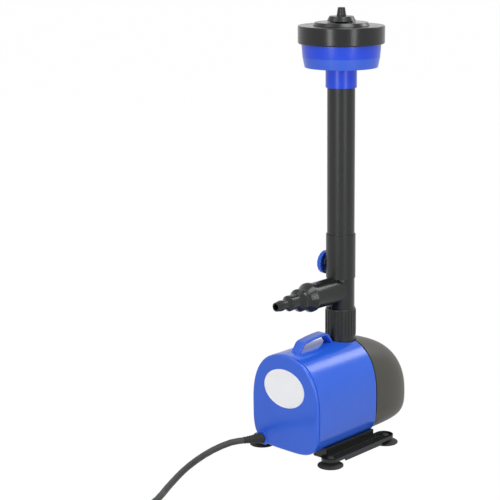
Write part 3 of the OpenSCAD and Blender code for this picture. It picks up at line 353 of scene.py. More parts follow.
def lead_tube():
    clear_selection()
    bpy.ops.curve.primitive_nurbs_path_add(location=(0, 0, 0))
    line = bpy.context.object
    line.data.splines.clear()
    spline = line.data.splines.new("POLY")
    spline.points.add(len(lead_points) - 1)
    for point, place in zip(spline.points, lead_points):
        point.co = (*place, 1.0)
    line.data.bevel_depth = CORD_R * MM
    line.data.bevel_resolution = 4
    line.data.use_fill_caps = True
    line.data.twist_mode = "Z_UP"
    bpy.ops.object.convert(target="MESH")
    bpy.ops.object.shade_smooth()
    return bpy.context.object


lead = give(lead_tube(), "lead", lead_rubber, "pump", "cord", "cord_coil", "cord_tail", slot="lead_sheath")

# %% [markdown]
# Most fittings are turned: one outline swept round an axis. A ring is a circle primitive, and every further
# point of the outline is one extrude and one resize of its edges about the axis. The last ring is pulled back
# onto the first and the doubles merged, which closes a tube. A Bevel modifier rounds the hard edges, because
# a moulded edge always catches a thin line of light.

# %% Turned pieces
SIDES = 96
AXIS = (0, PIPE_Y, 0)              # the pipe's axis, in mm
DOUBLES, COPY_DOUBLES = 0.000002, 0.00001           # points nearer than this are merged, in metres
TOWARDS = {"up": (0, 0, 0), "front": (90, 0, 0), "back": (-90, 0, 0), "left": (0, -90, 0)}


def select_only(piece):
    clear_selection()
    piece.select_set(True)
    bpy.context.view_layer.objects.active = piece


def edit_all(piece):
    select_only(piece)
    bpy.ops.object.mode_set(mode="EDIT")
    bpy.ops.mesh.select_all(action="SELECT")


def close_edit():
    """Turns the selected faces outwards and leaves edit mode."""
    bpy.ops.mesh.normals_make_consistent(inside=False)
    bpy.ops.object.mode_set(mode="OBJECT")


def settle(piece, place=(0, 0, 0), turn=(0, 0, 0)):
    """Turns a piece about the origin, moves it to its place in mm and keeps that place in its mesh."""
    select_only(piece)
    piece.rotation_euler = [radians(v) for v in turn]
    piece.location = Vector(place) * MM
    bpy.ops.object.transform_apply()
    return piece


def smooth(piece, angle=40):
    """Smooth shading that breaks at hard edges, with the flat faces kept flat by weighted normals."""
    select_only(piece)
    bpy.ops.object.shade_smooth_by_angle(angle=radians(angle))
    piece.modifiers.new("flats", "WEIGHTED_NORMAL").keep_sharp = True
    bpy.ops.object.modifier_apply(modifier="flats")
    return piece


def rounded(piece, width, segments=3, angle=32):
    """Rounds every edge sharper than the angle."""
    select_only(piece)
    edge = piece.modifiers.new("rounding", "BEVEL")
    edge.width, edge.segments = width * MM, segments
    edge.limit_method, edge.angle_limit = "ANGLE", radians(angle)
    bpy.ops.object.modifier_apply(modifier="rounding")
    return smooth(piece)


def turned(outline, towards="up", place=AXIS, capped=False, rounding=0.0, sides=SIDES):
    """A piece turned from an outline of (radius, distance along the axis): a closed tube, or a capped bar."""
    clear_selection()
    radius, height = outline[0]
    bpy.ops.mesh.primitive_circle_add(vertices=sides, radius=radius * MM)
    piece = bpy.context.object
    edit_all(piece)
    bpy.ops.transform.translate(value=(0, 0, height * MM))
    for wider, further in [*outline[1:], *([] if capped else outline[:1])]:
        rise = (0, 0, (further - height) * MM)
        bpy.ops.mesh.extrude_edges_move(TRANSFORM_OT_translate={"value": rise})
        bpy.ops.transform.resize(value=(wider / radius, wider / radius, 1),
                                 center_override=(0, 0, further * MM))
        radius, height = wider, further
    bpy.ops.mesh.select_all(action="SELECT")
    bpy.ops.mesh.remove_doubles(threshold=DOUBLES)
    if capped:
        bpy.ops.mesh.fill_holes(sides=0)
    close_edit()
    settle(piece, place, TOWARDS[towards])
    return rounded(piece, rounding) if rounding else smooth(piece)


def joined(*pieces):
    """Several meshes as one piece."""
    select_only(pieces[0])
    for piece in pieces:
        piece.select_set(True)
    bpy.ops.object.join()
    return pieces[0]


def carve(piece, tool, kind="DIFFERENCE"):
    """Cuts a tool out of a piece, or adds it on, and takes the tool away."""
    select_only(piece)
    step = piece.modifiers.new("carve", "BOOLEAN")
    step.operation, step.solver, step.object = kind, "EXACT", tool
    bpy.ops.object.modifier_apply(modifier="carve")
    bpy.data.objects.remove(tool, do_unlink=True)
    return piece


def block(low, high):
    """A box between two corners in mm, for a cut or as a piece."""
    clear_selection()
    bpy.ops.mesh.primitive_cube_add(size=1)
    piece = bpy.context.object
    piece.scale = [(b - a) * MM for a, b in zip(low, high)]
    piece.location = [(a + b) / 2 * MM for a, b in zip(low, high)]
    bpy.ops.object.transform_apply()
    return piece


def rods(count, radius, ring, low, high, sides=10):
    """Upright rods in a ring round the origin."""
    made = []
    for k in range(count):
        angle = radians(360 * k / count)
        clear_selection()
        place = (ring * cos(angle) * MM, ring * sin(angle) * MM, (low + high) / 2 * MM)
        bpy.ops.mesh.primitive_cylinder_add(vertices=sides, radius=radius * MM, depth=(high - low) * MM,
                                            location=place)
        made.append(bpy.context.object)
    piece = joined(*made)
    bpy.ops.object.transform_apply()
    return piece


# %% [markdown]
# The riser is a plain black tube that slides in the regulator's sleeve, with a groove near its foot for the
# seal. The sleeve takes it above and the branch piece below, and has a boss for the stem of the vane.

# %% Riser and sleeve
riser = turned([(15, 216), (15, 222), (13.5, 222), (13.5, 225), (15, 225), (15, 411.7), (12.6, 411.7),
                (12.6, 216)], rounding=0.15)
give(riser, "riser_tube", pipe_plastic, "riser", "riser_pipe", slot="black_fittings")

KNOB_AXIS = (0, PIPE_Y, 199.0)
STEM_R = 3.05                      # the bore for the vane's stem
sleeve = turned([(16.2, 185.2), (16.2, 234.2), (15.05, 234.2), (15.05, 215.8), (12, 215.8), (12, 192.2),
                 (13.65, 192.2), (13.65, 185.2)], rounding=0.3)
boss = turned([(6.2, 13), (6.2, 18), (STEM_R, 18), (STEM_R, 13)], "left", KNOB_AXIS, rounding=0.3, sides=48)
carve(sleeve, turned([(STEM_R, 11), (STEM_R, 18)], "left", KNOB_AXIS, capped=True, sides=48))
give(joined(sleeve, boss), "regulator_sleeve", pipe_plastic, "branch", "sleeve", slot="black_fittings")

# %% [markdown]
# The outlet pipe stands in the pump and carries fine upright ribs for the fingers, each with a round back.
# The branch piece turns in it. Its arm grows out of the upright run, so the two bars are united first and the
# bores are cut afterwards.

# %% Outlet pipe and branch piece
outlet = turned([(16.5, 100), (16.5, 149.9), (15.9, 151.3), (15.45, 151.3), (15.45, 126), (12, 126),
                 (12, 112), (14.25, 112), (14.25, 100)], rounding=0.15)
RIB_COUNT, RIB_R = 24, 0.6
ribs = settle(rods(RIB_COUNT, RIB_R, 16.5, 120, 148.9), AXIS)
give(joined(outlet, smooth(ribs)), "ribbed_outlet_pipe", pipe_plastic, "pump", "outlet_pipe",
     slot="black_fittings")

ARM_AXIS = (0, PIPE_Y, 172.5)
BORE_R = 12
run = turned([(15.4, 128), (15.4, 133), (13.9, 133), (13.9, 136), (15.4, 136), (15.4, 185.2), (13.6, 185.2),
              (13.6, 190.2)], capped=True)
arm = turned([(14.4, 0), (14.4, 51)], "front", ARM_AXIS, capped=True)
carve(arm, turned([(16.4, 185.2), (16.4, 200)], capped=True))
carve(run, arm, "UNION")
carve(run, turned([(BORE_R, 120), (BORE_R, 200)], capped=True))
carve(run, turned([(BORE_R, 0), (BORE_R, 60)], "front", ARM_AXIS, capped=True))
give(smooth(run), "branch_fitting", black_plastic, "branch", "branch_piece", slot="black_fittings")

# %% [markdown]
# The hose tail is stepped for three sizes of hose: each step has a short land with a sharp shoulder that
# holds the hose, then a cone down to the next. Four fine rings on the largest step are what is left of its
# thread.

# %% Hose tail
THREAD_RINGS, THREAD_PITCH, THREAD_FROM = 4, 1.5, 61
ROOT_R, CREST_R = 11.6, 12.1       # the radii between and on the rings of the thread
thread = []
for k in range(THREAD_RINGS):
    middle = THREAD_FROM + (k + 0.5) * THREAD_PITCH
    thread += [(ROOT_R, middle - 0.6), (CREST_R, middle - 0.2), (CREST_R, middle + 0.2),
               (ROOT_R, middle + 0.6)]
tail_outline = [(11.95, 39), (11.95, 45), (10.45, 45), (10.45, 48), (11.95, 48), (11.95, 51), (16, 51),
                (16, 54), (ROOT_R, THREAD_FROM), *thread, (ROOT_R, 67), (12.3, 67), (12.3, 70), (8.2, 74),
                (8.2, 83), (8.5, 83), (8.5, 86), (5.2, 90), (5.2, 96), (5.8, 96), (5.8, 99), (4.8, 105),
                (3.4, 105), (3.4, THREAD_FROM), (8.5, THREAD_FROM), (8.5, 39)]
give(turned(tail_outline, "front", ARM_AXIS, rounding=0.1), "stepped_hose_tail", black_plastic, "branch",
     "hose_tail", slot="black_fittings")

# %% [markdown]
# The regulator's knob is a blue cup, open towards the sleeve, with sixteen shallow flutes round its rim for a
# grip and a pocket for its screw. It is turned first and the flutes are cut as one ring of rods.

# %% Knob
KNOB_R, KNOB_NEAR, KNOB_FAR = 13, 18.5, 23.5       # near and far along its axis, from the pipe's
KNOB_FLUTES, FLUTE_R = 16, 0.8
knob = turned([(KNOB_R, KNOB_NEAR), (KNOB_R, KNOB_FAR), (3, KNOB_FAR), (3, 21.9), (1.7, 21.9), (1.7, 20.3),
               (9.8, 20.3), (9.8, KNOB_NEAR)], "up", (0, 0, 0), rounding=0.5)
carve(knob, rods(KNOB_FLUTES, FLUTE_R, KNOB_R, 17, 25, 12))
settle(knob, KNOB_AXIS, TOWARDS["left"])
give(smooth(knob), "regulator_knob", blue_plastic, "valve", "valve_knob", slot="blue_shell")

# %% [markdown]
# The spray head is a stack: a blue bowl with a neck that slips over the riser, a wide black cap, and two
# rings that leave a gap for the water. The cap's ring of small holes is cut with thin rods. The tip is a
# fluted nozzle on a hollow stalk.

# %% Spray head
NECK_Z, BOWL_Z, CAP_Z, CAP_TOP = 394.0, 415.7, 440.7, 459.7
RIM_Z = 455.7                      # where the cap's plate lies on the bowl's rim
ROUND_SIDES = 128                  # for the widest pieces
bowl = turned([(15.05, NECK_Z), (16.8, NECK_Z), (16.8, BOWL_Z), (39.17, BOWL_Z), (41.28, 426.4),
               (42.3, 438.7), (42.3, CAP_Z), (40.1, CAP_Z), (40.1, RIM_Z), (37.9, RIM_Z), (37.9, 438.7),
               (39.08, 426.4), (36.97, 417.9), (12.6, 417.9), (12.6, 411.7), (15.05, 411.7)],
              rounding=0.35, sides=ROUND_SIDES)
give(bowl, "spray_head_bowl", bowl_plastic, "riser", "spray_bowl", slot="blue_shell")
cap = turned([(42.5, CAP_Z), (45.6, CAP_Z), (46.3, 442.1), (46.3, 459.0), (45.6, CAP_TOP), (15.6, CAP_TOP),
              (15.6, RIM_Z), (42.5, RIM_Z)], rounding=0.35, sides=ROUND_SIDES)
HOLES, HOLE_R, HOLE_RING = 32, 0.7, 37
carve(cap, settle(rods(HOLES, HOLE_R, HOLE_RING, 454, 461, 12), AXIS))
give(smooth(cap), "spray_head_cap", black_plastic, "riser", "spray_cap", slot="black_fittings")

RING_T, RING_GAP = 3.4, 1.0
COLLAR_Z = CAP_TOP + RING_T + RING_GAP
COLLAR_TOP, TIP_TOP = 469.5, 478.5
TIP_R, TIP_FLUTES = 5.2, 10
lower_ring = turned([(15.55, RIM_Z), (15.55, CAP_TOP), (30.5, CAP_TOP), (28.3, 463.1), (12.4, 463.1),
                     (12.4, RIM_Z)], rounding=0.35)
stalk = turned([(6, RIM_Z), (6, COLLAR_Z), (3, COLLAR_Z), (3, RIM_Z)], rounding=0.2, sides=48)
spokes = [rounded(settle(block((4.5, -1.5, 455.8), (13, 1.5, CAP_TOP)), turn=(0, 0, turn)), 0.3)
          for turn in (0, 90, 180, 270)]
give(joined(lower_ring, stalk, settle(joined(*spokes), AXIS)), "lower_spray_ring", black_plastic, "riser",
     "spray_ring", slot="black_fittings")
give(turned([(15.6, COLLAR_Z), (12.79, COLLAR_TOP), (3, COLLAR_TOP), (3, COLLAR_Z)], rounding=0.5),
     "upper_spray_ring", black_plastic, "riser", "spray_collar", slot="black_fittings")
tip = turned([(TIP_R, COLLAR_TOP), (3.8, TIP_TOP), (1.5, TIP_TOP), (1.5, RIM_Z), (3, RIM_Z), (3, COLLAR_TOP)],
             place=(0, 0, 0), rounding=0.25, sides=60)
carve(tip, rods(TIP_FLUTES, 0.47, TIP_R, 468, 474))
give(settle(smooth(tip), AXIS), "fluted_spray_tip", black_plastic, "riser", "spray_tip",
     slot="black_fittings")

# %% [markdown]
# The pump's body has the outline of a superellipse: an ellipse with fuller corners, and fuller still below
# its waist. No primitive has this section, so its rings are worked out point by point and skinned. The
# housing is a tube of two such skins, one inside the other, and the strainer is a dome whose rings narrow and
# droop.

# %% Outline of the body
BODY_W, BODY_TOP, BODY_BOTTOM, WAIST_Z = 95.0, 116.0, 9.0, 55.6
PLATE_BACK_Y, SEAM_Y, REAR_Y = PIPE_Y - 89.8, PIPE_Y + 6.5, PIPE_Y + 85
WALL = 2.5
RING_POINTS = 144
SHELL_ANGLE = 35                   # the shells' shading breaks at edges sharper than this, in degrees


def fuller(value, power):
    """A sine or cosine bent into a superellipse's."""
    return copysign(abs(value) ** (2 / power), value)


def body_ring(inset, y, keel=4.0, crown=2.45):
    """One ring of the body's outline at a distance y, drawn in by inset, in mm."""
    ring = []
    for k in range(RING_POINTS):
        a = 2 * pi * k / RING_POINTS
        power = keel if sin(a) < 0 else crown      # keel below the waist, crown above it
        reach = (WAIST_Z - BODY_BOTTOM if sin(a) < 0 else BODY_TOP - WAIST_Z) - inset
        ring.append(((BODY_W / 2 - inset) * fuller(cos(a), power), y,
                     WAIST_Z + reach * fuller(sin(a), power)))
    return ring


def plain_mesh(name, points, faces):
    """A new piece from points in mm and faces, left in edit mode with all of it selected."""
    mesh = bpy.data.meshes.new(name)
    mesh.from_pydata([Vector(p) * MM for p in points], [], faces)
    piece = bpy.data.objects.new(name, mesh)
    bpy.context.scene.collection.objects.link(piece)
    edit_all(piece)
    return piece


def skinned(rings, name, endless=False):
    """A mesh over rings of equal count, closed into a tube or capped at both ends."""
    n = len(rings[0])
    steps = len(rings) if endless else len(rings) - 1
    faces = [(j * n + i, j * n + (i + 1) % n, (j + 1) % len(rings) * n + (i + 1) % n,
              (j + 1) % len(rings) * n + i) for j in range(steps) for i in range(n)]
    if not endless:
        faces += [tuple(range(n)), tuple(range(len(rings) * n - 1, (len(rings) - 1) * n - 1, -1))]
    piece = plain_mesh(name, [p for ring in rings for p in ring], faces)
    close_edit()
    return piece


# %% [markdown]
# The handle is a flat strap: a leaning front leg, a top that arches a little and a leaning rear leg. Its
# side view is drawn as one strip of faces, extruded to the strap's width and rounded all along its edges.

# %% Handle
HANDLE_W, HANDLE_T, HANDLE_TOP, FOOT_SINK, ARCH_DROP = 12.0, 3.2, 129.0, 2.0, 2.5
HANDLE_FRONT, HANDLE_REAR = -77, -17.8              # its feet, from the pipe's axis
FRONT_BEND, FRONT_BEND_R, REAR_BEND, REAR_BEND_R = -63, 8, -33, 9
ARCH_AT, ARCH_L = (-57, -51, -45, -39), 31
CORNER_STEPS = 8
PORT_R = 17.4                      # the room that the outlet pipe needs


def bow(middle, radius, first, last):
    """Points on an arc between two angles in degrees."""
    angles = [radians(first + (last - first) * k / CORNER_STEPS) for k in range(CORNER_STEPS + 1)]
    return [(middle[0] + radius * cos(a), middle[1] + radius * sin(a)) for a in angles]


def handle_line(inset):
    """The strap's outer or inner line in the side view, from foot to foot."""
    foot = BODY_TOP - FOOT_SINK
    front = bow((FRONT_BEND, HANDLE_TOP - ARCH_DROP - FRONT_BEND_R), FRONT_BEND_R - inset, 155, 97)
    arch = [(y, HANDLE_TOP - inset - ARCH_DROP * ((y - REAR_BEND) / ARCH_L) ** 2) for y in ARCH_AT]
    rear = bow((REAR_BEND, HANDLE_TOP - REAR_BEND_R), REAR_BEND_R - inset, 90, 30)
    return [(HANDLE_FRONT + inset, foot), *front, *arch, *rear, (HANDLE_REAR - inset, foot)]


def port_notch(low, high):
    return turned([(PORT_R, low), (PORT_R, high)], capped=True)


def handle_strap():
    outer, inner = handle_line(0), handle_line(HANDLE_T)
    points = [(-HANDLE_W / 2, y + PIPE_Y, z) for y, z in (*outer, *inner)]
    n = len(outer)
    strap = plain_mesh("handle", points, [(k, k + 1, n + k + 1, n + k) for k in range(n - 1)])
    bpy.ops.mesh.extrude_region_move(TRANSFORM_OT_translate={"value": (HANDLE_W * MM, 0, 0)})
    bpy.ops.mesh.select_all(action="SELECT")
    close_edit()
    carve(strap, port_notch(100, 128))
    return rounded(strap, 0.9, 3, 50)


# %% [markdown]
# The housing steps in at its front edge, and the strainer's collar is drawn in as far, so that a dark line
# shows at each seam. The notch lets the outlet pipe stand half in the housing and half in the strainer. A
# bulkhead inside holds the rotor's can, and four pegs below carry the rails.

# %% Housing
SEAM_IN = 2.2                      # how far both seams are drawn in
FLAT_FROM, FLAT_RINGS = 2, 6       # the shell is plain between both edges
FRONT_EDGE = ((SEAM_IN, 0), (SEAM_IN, 0.7), (0.25, 0.85), (0, 1.2), (0, FLAT_FROM))
REAR_EDGE = ((0, 1.6), (0.12, 1.2), (0.4, 1.0), (WALL, 1.0))
NOTCH_Z = (101.8, 130)
flat_l = SEAM_Y - PLATE_BACK_Y - 2 * FLAT_FROM
housing = skinned([*[body_ring(inset, PLATE_BACK_Y + behind) for inset, behind in FRONT_EDGE],
                   *[body_ring(0, PLATE_BACK_Y + FLAT_FROM + flat_l * (k + 1) / FLAT_RINGS)
                     for k in range(FLAT_RINGS)],
                   *[body_ring(inset, SEAM_Y - ahead) for inset, ahead in REAR_EDGE],
                   body_ring(WALL, PLATE_BACK_Y)], "shell", endless=True)
carve(housing, port_notch(*NOTCH_Z))
smooth(housing, SHELL_ANGLE)
bulkhead = skinned([body_ring(WALL - 0.2, PIPE_Y + behind) for behind in (-21, -18)], "bulkhead")
ROTOR_R, ROTOR_Z = 14.7, 56
carve(bulkhead, turned([(ROTOR_R, 10), (ROTOR_R, 30)], "front", (0, PIPE_Y, ROTOR_Z), capped=True))
PEG_X, PEG_SHARES = (-35, 35), (-0.62, -0.12)       # shares of the front's distance from the axis
pegs = [turned([(3, 7.6), (3, 11)], place=(x, share * FRONT_REACH + PIPE_Y, 0), capped=True, sides=32)
        for x in PEG_X for share in PEG_SHARES]
give(joined(housing, smooth(bulkhead), handle_strap(), *pegs), "blue_housing", blue_plastic, "pump",
     "housing", slot="blue_shell")

# %% [markdown]
# The front cover is a plate whose edge rolls over in a quarter of a superellipse, which gives the two bright
# lines along its corners. A round boss in its lower corner holds the lead's gland.

# %% Front cover
PLATE_T, ROLL_POWER, ROLL_STEPS, ROLL_END, ROLL_EASE = 3.2, 2.3, 14, 0.94, 1.8
SPIGOT_OUT, SPIGOT_IN = 2.7, 5.2   # the rim behind the plate that centres it in the housing
COVER_BACK = ((0.12, -0.1), (0.5, 0), (SPIGOT_OUT, 0), (SPIGOT_OUT, PLATE_T), (SPIGOT_IN, PLATE_T),
              (SPIGOT_IN, 0), (8, 0))


def roll_ring(share):
    """One ring of the rolled edge, at a share of the plate's thickness."""
    drawn_in = 1 - (1 - (1 - share) ** ROLL_POWER) ** (1 / ROLL_POWER)
    return body_ring(PLATE_T * drawn_in, FRONT_Y + PLATE_T * share)


cover = skinned([body_ring(PLATE_T + 0.6, FRONT_Y),
                 *[roll_ring(ROLL_END * (k / ROLL_STEPS) ** ROLL_EASE) for k in range(ROLL_STEPS + 1)],
                 *[body_ring(inset, PLATE_BACK_Y + behind) for inset, behind in COVER_BACK]], "cover")
BOSS_R, CABLE_HOLE_R = 8.6, 4.6
gland_boss = turned([(BOSS_R, -1.5), (BOSS_R, 0.8)], "front", GLAND_FOOT, capped=True, rounding=0.4, sides=64)
carve(gland_boss, block((GLAND_X - 12, FRONT_Y - 3, 0), (GLAND_X + 12, FRONT_Y + 3, BODY_BOTTOM)))
for shell in (cover, gland_boss):
    carve(shell, turned([(CABLE_HOLE_R, -8), (CABLE_HOLE_R, 4)], "front", GLAND_FOOT, capped=True, sides=48))
give(joined(smooth(cover, SHELL_ANGLE), smooth(gland_boss)), "rounded_front_cover", blue_plastic, "pump",
     "front_cover", slot="blue_shell")

# %% [markdown]
# The strainer closes the rear. It starts with the collar of the seam. Its dome narrows late and evenly in
# plan, droops towards the rear in the side view, and is slotted behind and below so that water gets in and
# stones stay out. The two skins are one closed wall, so a cut through it shows the wall's thickness.

# %% Strainer
DOME_Y = SEAM_Y + 0.4
DOME_LAST = 0.997
DOME_LENGTH = (REAR_Y - DOME_Y) / DOME_LAST
DROOP, SIDE_POWER, CROWN_POWER, KEEL_POWER, DOME_KEEL = 0.158, 2.9, 3.5, 8.0, 3.2
DOME_STEPS = 26


def narrowing(share, power):
    """A superellipse's height at a share of its length."""
    return (1 - share ** power) ** (1 / power)


def dome_ring(share, inset, start, length):
    """One ring of the dome, at a share of its length."""
    side = narrowing(share, SIDE_POWER)
    crown = (1 - DROOP * share) * narrowing(share, CROWN_POWER)
    keel = narrowing(share, KEEL_POWER)
    low = BODY_BOTTOM + inset
    ring = []
    for x, _, z in body_ring(inset, 0, DOME_KEEL):
        lift = crown if z > WAIST_Z else keel + (crown - keel) * (z - low) / (WAIST_Z - low)
        ring.append((x * side, start + length * share, low + (z - low) * lift))
    return ring


def smaller(ring, share):
    """The same ring drawn in towards its middle, as the last step of a cap."""
    middle = [sum(p[i] for p in ring) / len(ring) for i in range(3)]
    return [tuple(m + (v - m) * share for v, m in zip(p, middle)) for p in ring]


dome_shares = [DOME_LAST * sin(pi / 2 * k / DOME_STEPS) for k in range(1, DOME_STEPS + 1)]
COLLAR_L, CAP_SHARE = 1.2, 0.25
EDGE_RINGS = ((0, SEAM_IN), (0, 0.35), (0.002, 0.1), (0.006, 0))    # as shares of the length and insets
outer = [dome_ring(0, SEAM_IN, DOME_Y - COLLAR_L, DOME_LENGTH),
         *[dome_ring(share, inset, DOME_Y, DOME_LENGTH) for share, inset in EDGE_RINGS],
         *[dome_ring(share, 0, DOME_Y, DOME_LENGTH) for share in dome_shares]]
inner = [dome_ring(0, WALL, DOME_Y - COLLAR_L, DOME_LENGTH),
         *[dome_ring(share, WALL, DOME_Y, DOME_LENGTH - WALL) for share in (0, *dome_shares)]]
strainer = skinned([smaller(outer[-1], CAP_SHARE), *outer[::-1], *inner, smaller(inner[-1], CAP_SHARE)],
                   "dome")
carve(strainer, port_notch(*NOTCH_Z))
SLOT_W, REAR_SLOTS, SLOT_PITCH, REAR_SLOT_Z, REAR_SLOT_H = 3.2, 9, 6.4, 30, 52.0
FLOOR_SLOTS, FLOOR_PITCH, FLOOR_SLOT_Y, FLOOR_SLOT_L = 5, 9.0, DOME_Y + 30, 34.0


def slot_cutter(x, low, high):
    """A block as wide as a slot, between two points of the side view."""
    return block((x - SLOT_W / 2, *low), (x + SLOT_W / 2, *high))


slots = [slot_cutter((k - REAR_SLOTS // 2) * SLOT_PITCH, (PIPE_Y + 42.5, REAR_SLOT_Z),
                     (PIPE_Y + 110, REAR_SLOT_Z + REAR_SLOT_H)) for k in range(REAR_SLOTS)]
slots += [slot_cutter((k - FLOOR_SLOTS // 2) * FLOOR_PITCH, (FLOOR_SLOT_Y, 0),
                      (FLOOR_SLOT_Y + FLOOR_SLOT_L, 14)) for k in range(FLOOR_SLOTS)]
carve(strainer, joined(*slots))
smooth(strainer, SHELL_ANGLE)
TONGUE_X, HALF_T, HALF_L, HALF_H = BODY_W / 2 - WALL - 0.4, 1, 6, 8
tongues = [rounded(block((side * TONGUE_X - HALF_T - side, DOME_Y - HALF_L, WAIST_Z - HALF_H),
                         (side * TONGUE_X + HALF_T - side, DOME_Y + HALF_L, WAIST_Z + HALF_H)), 0.4)
           for side in (-1, 1)]
give(joined(strainer, *tongues), "slotted_strainer", strainer_plastic, "strainer", "strainer",
     slot="strainer_shell")

# %% [markdown]
# The rails are cradles: each follows the body's lower corner inside and opens as a tray outside. The exact
# solid already has that shape, so a copy of its mesh is merged, its flat faces are dissolved into whole ones,
# and a bevel takes the sharpness off every edge, as the mould does.

# %% Rails
def copied(source):
    piece = source.copy()
    piece.data = source.data.copy()
    bpy.context.scene.collection.objects.link(piece)
    return piece


def softened_copy(node, width):
    """A copy of an exact piece with merged points, whole faces and rounded edges."""
    piece = copied(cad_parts[node])
    piece.parent = None
    for key in list(piece.keys()):
        del piece[key]
    edit_all(piece)
    bpy.ops.mesh.remove_doubles(threshold=COPY_DOUBLES)
    bpy.ops.mesh.dissolve_limited(angle_limit=radians(2))
    bpy.ops.object.mode_set(mode="OBJECT")
    return rounded(piece, width, 3, 40)


for side in ("left", "right"):
    give(softened_copy(side + "_rail", 0.5), "soft_edged_" + side + "_rail", black_plastic, "pump",
         side + "_rail", slot="black_fittings")

# %% [markdown]
# A suction cup is one turned rubber piece: a thin disc that flares from a stem, and a button above that snaps
# through the tray. Eight flutes in the stem let it bend. One is modelled and copied to the other places.

# %% Suction cups
CUP_PLACES = [(x, y + PIPE_Y, 0) for x in (-50, 50) for y in (-75, 18.5)]
cup = turned([(12.0, 0.7), (12.4, 0.0), (14, 0), (14, 0.9), (9.5, 2.2), (6.8, 3.6), (5.6, 4.2), (5.2, 4.6),
              (5.2, 6.4), (2.6, 6.4), (2.6, 8), (4, 8), (4, 8.9), (2.6, 9.8)], place=(0, 0, 0), capped=True,
             rounding=0.12, sides=64)
STEM_FLUTES = 8
carve(cup, rods(STEM_FLUTES, 0.7, 5.6, 4.5, 6.4, 12))
smooth(cup)
others = [settle(copied(cup), place) for place in CUP_PLACES[1:]]
settle(cup, CUP_PLACES[0])
give(joined(cup, *others), "four_suction_cups", black_rubber, "pump", "suction_cups", slot="black_rubber")

# %% [markdown]
# The gland leads the cable out of the cover. Its nose is a tapered relief that bends the lead round to the
# side, ribbed so that it gives evenly: each rib is a step of the turned outline. It is turned upright and
# then swung to the way the lead leaves.

# %% Gland
NOSE_FOOT_R, NOSE_TIP_R = 5.8, 3.7
RELIEF_RIBS, GROOVE_D = 6, 0.45
GROOVE = ((0.10, 0.0), (0.22, GROOVE_D), (0.55, GROOVE_D), (0.67, 0.0))    # one groove between two ribs
nose_outline = [(2.0, -2.0), (5.0, -2.6), (NOSE_FOOT_R, 0)]
for k in range(RELIEF_RIBS):
    for share, sink in GROOVE:
        along = (k + 0.6 + share) / (RELIEF_RIBS + 0.9)
        nose_outline.append((NOSE_FOOT_R + (NOSE_TIP_R - NOSE_FOOT_R) * along - sink, NOSE_L * along))
nose_outline.append((NOSE_TIP_R, NOSE_L))
nose = turned(nose_outline, place=(0, 0, 0), capped=True, rounding=0.15, sides=48)
settle(nose, (0, 0, 0), (90 + degrees(NOSE_DIP), 0, 0))
settle(nose, GLAND_FOOT, (0, 0, -degrees(NOSE_TURN)))
flange = turned([(4.4, -3), (4.4, 0.8), (NOSE_FOOT_R, 0.8), (NOSE_FOOT_R, 2.0), (3.0, 2.4)], "front",
                GLAND_FOOT, capped=True, rounding=0.3, sides=48)
give(joined(nose, flange), "ribbed_cable_gland", black_rubber, "pump", "cable_gland", slot="black_rubber")

# %% [markdown]
# The plug is a round two-pin plug of moulded rubber: a ribbed relief, a shoulder, a body with a flat groove
# above and below for the earth springs, and two bare pins. The strap that ties the coil is a bent strip.

# %% Plug and strap
PLUG_X, PLUG_Y = plug_start[:2]
RELIEF_L, SHOULDER_L, PLUG_L = 28.0, 10.0, 38.0
RELIEF_R, RELIEF_FLARE = 4.8, 2.7
PLUG_RIBS, PLUG_RIB_FROM, PLUG_RIB_PITCH = 7, 3, 3.4
plug_outline = [(RELIEF_R, 0)]
for k in range(PLUG_RIBS):
    along = PLUG_RIB_FROM + PLUG_RIB_PITCH * k
    wide = RELIEF_R + RELIEF_FLARE * along / RELIEF_L
    plug_outline += [(wide, along), (wide - 0.5, along + 0.5), (wide - 0.4, along + 1.5),
                     (wide + 0.1, along + 2)]
plug_outline += [(7.5, RELIEF_L), (17.6, RELIEF_L + SHOULDER_L - 1.5), (PLUG_R, RELIEF_L + SHOULDER_L),
                 (PLUG_R, RELIEF_L + PLUG_L)]
plug = turned(plug_outline, "back", (PLUG_X, PLUG_Y, PLUG_R), capped=True, rounding=0.4, sides=80)
EARTH_HALF_W, EARTH_D, EARTH_Y = 2.5, 2, PLUG_Y + RELIEF_L + 2 * SHOULDER_L
for z in (0, 2 * PLUG_R):
    carve(plug, block((PLUG_X - EARTH_HALF_W, EARTH_Y, z - EARTH_D),
                      (PLUG_X + EARTH_HALF_W, EARTH_Y + PLUG_L, z + EARTH_D)))
give(smooth(plug), "moulded_plug", plug_rubber, "pump", "plug_body", slot="plug_rubber")
PIN_X, PIN_R, PIN_ROOT_R = 9.5, 2.4, 1.8
FACE_L = RELIEF_L + PLUG_L         # from the plug's start to its face
pins = [turned([(PIN_ROOT_R, FACE_L - 6), (PIN_ROOT_R, FACE_L), (PIN_R, FACE_L), (PIN_R, FACE_L + 18.2),
                (1.9, FACE_L + 19)], "back", (PLUG_X + side * PIN_X, PLUG_Y, PLUG_R), capped=True,
               rounding=0.3, sides=40) for side in (-1, 1)]
give(joined(*pins), "two_plug_pins", bright_metal, "pump", "plug_pins", slot="plug_metal")
give(softened_copy("cord_tie", 0.25), "coil_strap", strap_plastic, "pump", "cord_tie", slot="tie_strap")

# %% [markdown]

# %% [markdown]
# What is inside keeps the exact solids, because nobody sees an edge there, but each material is still its
# own: laminations run round the core, the copper is wound in fine turns, the magnet is a dark sintered grain
# and the resin has flowed. The label is bare coated paper.

